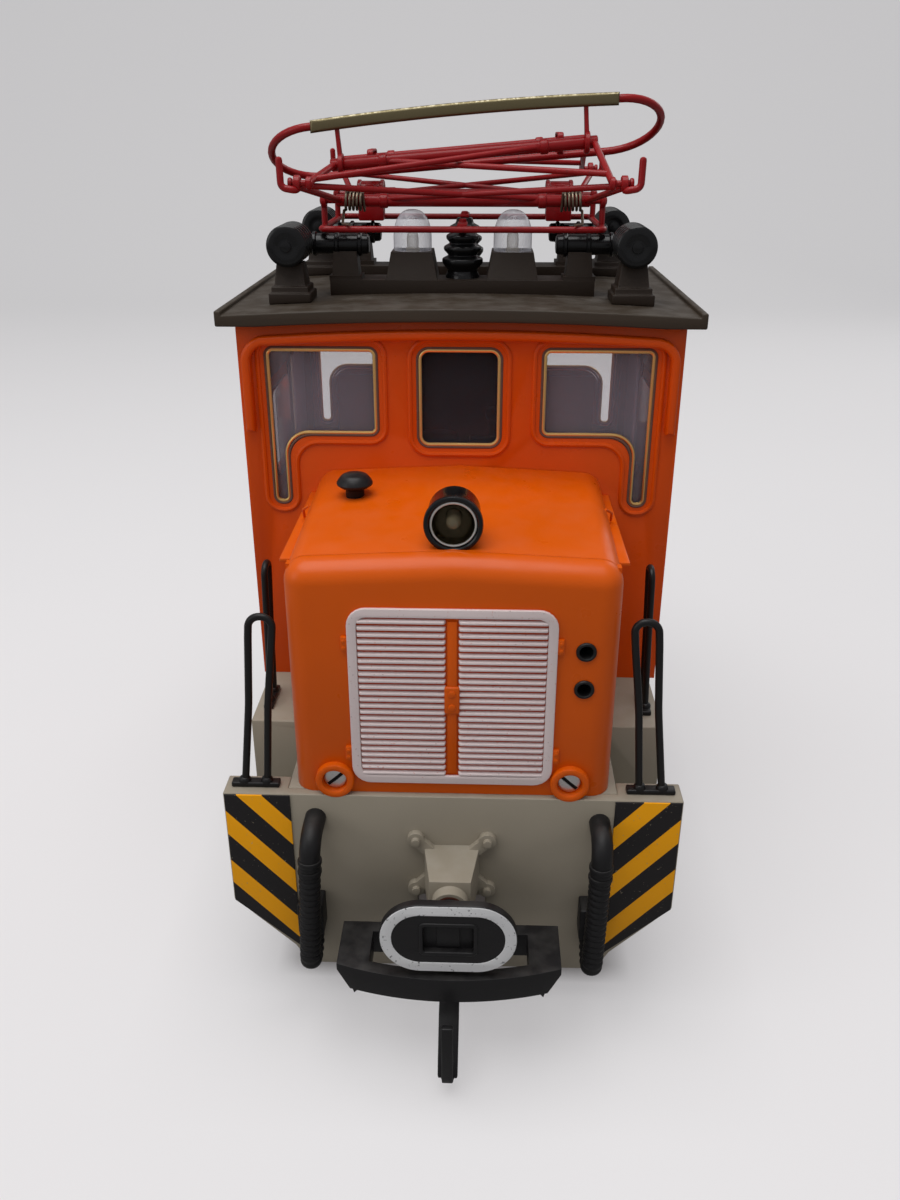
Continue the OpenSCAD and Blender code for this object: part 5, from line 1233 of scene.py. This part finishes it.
coil = []
turns, per = 5, 20
for k in range(turns * per + 1):
    a = 2 * pi * k / per
    coil.append(Vector((26 - 2.2 + 4.4 * k / (turns * per), -shaftY + 2.05 * sin(a), shaftZ - 2.05 * cos(a))))
leg = rounded([coil[-1], (28.6, -shaftY - 1.0, shaftZ - 2.2), (28.4, -q["baseY"] + 0.9, baseZ + 1.15),
               (26.5, -q["baseY"] - 1.1, baseZ + 1.1)], 0.8, 5)
tail = rounded([(23.8, -shaftY - 2.4, shaftZ + 1.9), (23.7, -shaftY - 0.4, shaftZ - 2.3), coil[0]], 0.5, 4)
spring = wireShape([coil, leg, tail], 0.34, 10)
finished(mirrorBoth(spring), "pantographSprings", "springSteel", body, ["pantograph_springs"])


def lowerArm():
    a, b = Vector((q["shaftHalf"] - 1.0, -shaftY, shaftZ)), Vector((q["lowerElbow"], -elbowY, elbowZ))
    near = a + (b - a) * 0.78
    w = q["wire"]
    route = rounded([a, b + Vector((0.1, 3.0, -0.95)), b + Vector((0.2, -1.6, -1.35)),
                     b + Vector((3.3, -1.6, -0.8)), b + Vector((3.4, -1.5, 4.6))], [0, 6, 1.2, 1.3, 0], 7)
    side = joined([wireShape([route], w, 12), eyeAt(b, 1.65, 0.75),
                   turnedShape([(w * 0.6, 4.3), (w * 0.95, 4.6), (w * 1.0, 5.0), (w * 0.8, 5.4), (0.2, 5.6)],
                               b + Vector((3.4, -1.5, -0.3)), "Z", 16)])
    brace = wireShape([[Vector((q["brace"], -shaftY, shaftZ + 0.4)),
                        Vector((-near.x, near.y, near.z + 0.3))]],
                      0.68, 12)
    crossing = mirrored(brace)
    shaft = turnedShape([(0.68, -34.4), (0.7, -34.2), (0.7, -q["shaftHalf"] - 0.05), (1.2, -q["shaftHalf"]),
                         (1.4, -30.2), (1.4, 30.2), (1.2, q["shaftHalf"]), (0.7, q["shaftHalf"] + 0.05),
                         (0.7, 34.2), (0.68, 34.4)],
                        (0, -shaftY, shaftZ), "X", 28)
    weld = rodShape((18, -shaftY, shaftZ), (20, -shaftY, shaftZ), 1.75, 0.35, 28)
    return joined([shaft, mirrorBoth(joined([side, weld])), brace, crossing])


def upperArm():
    def apexAt(x):
        return Vector((x, -shaftY, apexZ + x * leanTan))

    half = q["apexHalf"]
    tube = rodShape(apexAt(-half), apexAt(half), q["tube"], 0.35, 28)
    parts = [tube]
    for s in (-1, 1):
        a, b = apexAt(s * (half - 0.8)), Vector((s * q["upperElbow"], -elbowY, elbowZ))
        near = a + (b - a) * 0.78
        parts.append(wireShape([[a, b + Vector((0, 1.0, 0.2))]], q["wire"], 12))
        parts.append(wireShape([[apexAt(-s * q["brace"]), near]], 0.68, 12))
        parts.append(eyeAt(b, 1.35, 0.6))
        parts.append(rodShape(b - Vector((s * 0.3, 0, 0)), b + Vector((s * 4.0, 0, 0)), 0.68, 0.2, 20))
        parts.append(rodShape(b + Vector((s * 3.6, 0, 0)), b + Vector((s * 4.5, 0, 0)), 1.15, 0.3, 20))
        weldAt = apexAt(-s * q["brace"])
        along = (apexAt(1) - apexAt(0)).normalized()
        parts.append(rodShape(weldAt - along, weldAt + along, 1.75, 0.35, 28))
    return joined(parts)


def mirroredY(shape):
    twin = mirrored(shape, 1)
    bpy.data.objects.remove(shape)
    return twin


finished(lowerArm(), "lowerArm_front", "pantographRed", "front_lower_arm",
         ["lower_arm_front"])
finished(settled(lowerArm()), "lowerArm_rear", "pantographRed", "rear_lower_arm",
         ["lower_arm_rear"])
finished(upperArm(), "upperArm_front", "pantographRed", "front_upper_arm",
         ["upper_arm_front"])
finished(mirroredY(upperArm()), "upperArm_rear", "pantographRed", "rear_upper_arm",
         ["upper_arm_rear"])


def stripPoint(x, lift=0.0):
    return (x, stripZ + q["arch"] * (1 - (x / q["stripHalf"]) ** 2) + x * leanTan + lift)


def ringPoint(side, t):
    x = side * (q["stripHalf"] + q["hornOut"] * sin(t))
    y = -(shaftY + q["ringBack"]) / 2 * cos(t) - (shaftY - q["ringBack"]) / 2
    return Vector((x, y, stripZ - q["hornDrop"] * (1 - cos(t)) / 2 + x * leanTan))


stripSteps = 24
stripXs = [q["stripHalf"] * (2 * k / stripSteps - 1) for k in range(stripSteps + 1)]
loop = [Vector((x, -shaftY, stripPoint(x)[1])) for x in stripXs[1:-1]]
loop += [ringPoint(1, pi * k / 20) for k in range(21)]
loop += [ringPoint(-1, pi * k / 20) for k in range(20, -1, -1)]
head = [wireShape([loop], q["ring"], 14, True)]
for s in (-1, 1):
    x = s * q["postX"]
    foot = Vector((x, -shaftY, apexZ + x * leanTan))
    tall = stripPoint(x)[1] - foot.z - 0.8
    post = plateShape([[(-1.3, 1.2), (1.3, 1.2), (0.75, 5), (0.75, tall), (-0.75, tall), (-0.75, 5)]], -0.5,
                      0.5, "YZ", 0.2)
    post.rotation_euler = (0, -radians(q["leanAngle"]), 0)
    post.location = foot * mm
    settle(post)
    eye = turnedShape([(1.5, -0.6), (2.3, -0.6), (2.5, -0.4), (2.5, 0.4), (2.3, 0.6), (1.5, 0.6)], foot, "X",
                      32)
    c = s * q["clipX"]
    cz = apexZ + c * leanTan
    clip = plateShape([arcs(shaftY - 5.6, cz - 2.5, shaftY + 5.6, cz + 2.5, 1.2),
                       arcs(shaftY - 4.95, cz - 1.9, shaftY + 4.95, cz + 1.9, 0.8)], c - 0.8, c + 0.8, "YZ",
                      0.3)
    head += [post, eye, clip]
finished(joined(head), "pantographHead", "pantographRed", "collector_head",
         ["pantograph_head"])
outline = [stripPoint(x, 1.35) for x in stripXs] + [stripPoint(x, -1.45) for x in reversed(stripXs)]
wear = plateShape([outline], -shaftY - 1.6, -shaftY + 1.6, "XZ", 0.7, 4)
finished(wear, "wearStrip", "stripBrass", "collector_head", ["wear_strip"])
print("pantograph")

# ---- wheels and drive ----

for end in ("front", "rear"):
    wheelPair = softCopy("wheels_" + end, 0.25, 2, 25)
    finished(wheelPair, "wheels_" + end, "wheelMetal", end + "_wheelset", ["wheels_" + end])
    rod = softCopy("axle_" + end, 0.25, 2)
    finished(rod, "axle_" + end, "axleSteel", end + "_wheelset", ["axle_" + end])
for node, name, finish, slotName, width in (
        ("motor_block", "motorBlock", "blackPlastic", "block_black", 0.35),
        ("keeper_plate", "keeperPlate", "blackPlastic", "block_black", 0.25),
        ("underframe_screws", "underframeScrews", "screwSteel", "screw_steel", 0.15),
        ("pickup_wipers", "pickupWipers", "turnedBrass", "wiper_bronze", 0.06),
        ("control_stand", "controlStand", "standBlack", "stand_black", 0.35),
        ("ballast_weights", "ballastWeights", "castIron", "ballast_iron", 0.4)):
    finished(softCopy(node, width), name, finish, body, [node])
print("wheels and drive")

# ---- floor ----

deselect()
bpy.ops.mesh.primitive_plane_add(size=2 * studio["floorHalf"] * mm)
floor = active()
floor.name = "studioFloor"
chosen(floor, "EDGE", lambda c, d: c.y > 1 and abs(d.y) < 1)        # the far edge
bpy.ops.mesh.extrude_region_move(TRANSFORM_OT_translate={"value": (0, 0, studio["wallRise"] * mm)})
leave()
applied(floor, "BEVEL", width=studio["bend"] * mm, segments=16, limit_method="ANGLE")
bpy.ops.object.shade_smooth()
ground = Finish("studioPaper", shade(*studio["floorShade"]), 0.85)
ground.shader.inputs["Specular IOR Level"].default_value = 0.1
ground.shader.inputs["Emission Strength"].default_value = 1.0
seenDirectly = ground.pin("ShaderNodeLightPath", {}, {}, "Is Camera Ray")
# painted shade: the paper's glow darkens with distance
far = ground.axis(1).between(*studio["far"])
cloud = ground.noise(90, 4).between(0.35, 0.7)
ground.paint(1 - seenDirectly, shade(*studio["bounceShade"]))
glow = ground.blend(far, shade(*studio["glowNear"]), shade(*studio["glowFar"]))
glow = ground.blend(cloud * 0.12, glow, shade(*studio["glowFar"]))
# painted shadow: the floor's glow is darkened under the locomotive
shadowUnderMask = ((1 - abs(ground.axis(0)).between(*studio["shadowUnderAcross"]))
           * (1 - abs(ground.axis(1)).between(*studio["shadowUnderAlong"])))
glow = ground.blend(shadowUnderMask, glow, shade(*studio["shadowUnderLoco"]))
# painted shadow: darker still right beneath the chassis
chassisShadowMask = ((1 - abs(ground.axis(0)).between(*studio["chassisShadowAcross"]))
             * (1 - abs(ground.axis(1)).between(*studio["chassisShadowAlong"])))
glow = ground.blend(chassisShadowMask, glow, shade(*studio["shadowUnderChassis"]))
glow = ground.blend(seenDirectly, shade(0, 0, 0), glow)
ground.tree.links.new(glow.socket, ground.shader.inputs["Emission Color"])
floor.data.materials.append(ground.done())

world = bpy.data.worlds.new("studioWorld")
bpy.context.scene.world = world
world.use_nodes = True
worldTree = world.node_tree
sky = worldTree.nodes["Background"]
sky.inputs["Color"].default_value = shade(236, 236, 240)
path = worldTree.nodes.new("ShaderNodeLightPath")
# full strength where the background is seen directly or through clear pieces
level = worldTree.nodes.new("ShaderNodeMapRange")
level.inputs["To Min"].default_value = studio["fill"]
seen = worldTree.nodes.new("ShaderNodeMath")
seen.operation = "MAXIMUM"
worldTree.links.new(path.outputs["Is Camera Ray"], seen.inputs[0])
worldTree.links.new(path.outputs["Is Transmission Ray"], seen.inputs[1])
worldTree.links.new(seen.outputs[0], level.inputs["Value"])
worldTree.links.new(level.outputs[0], sky.inputs["Strength"])
print("studio set")
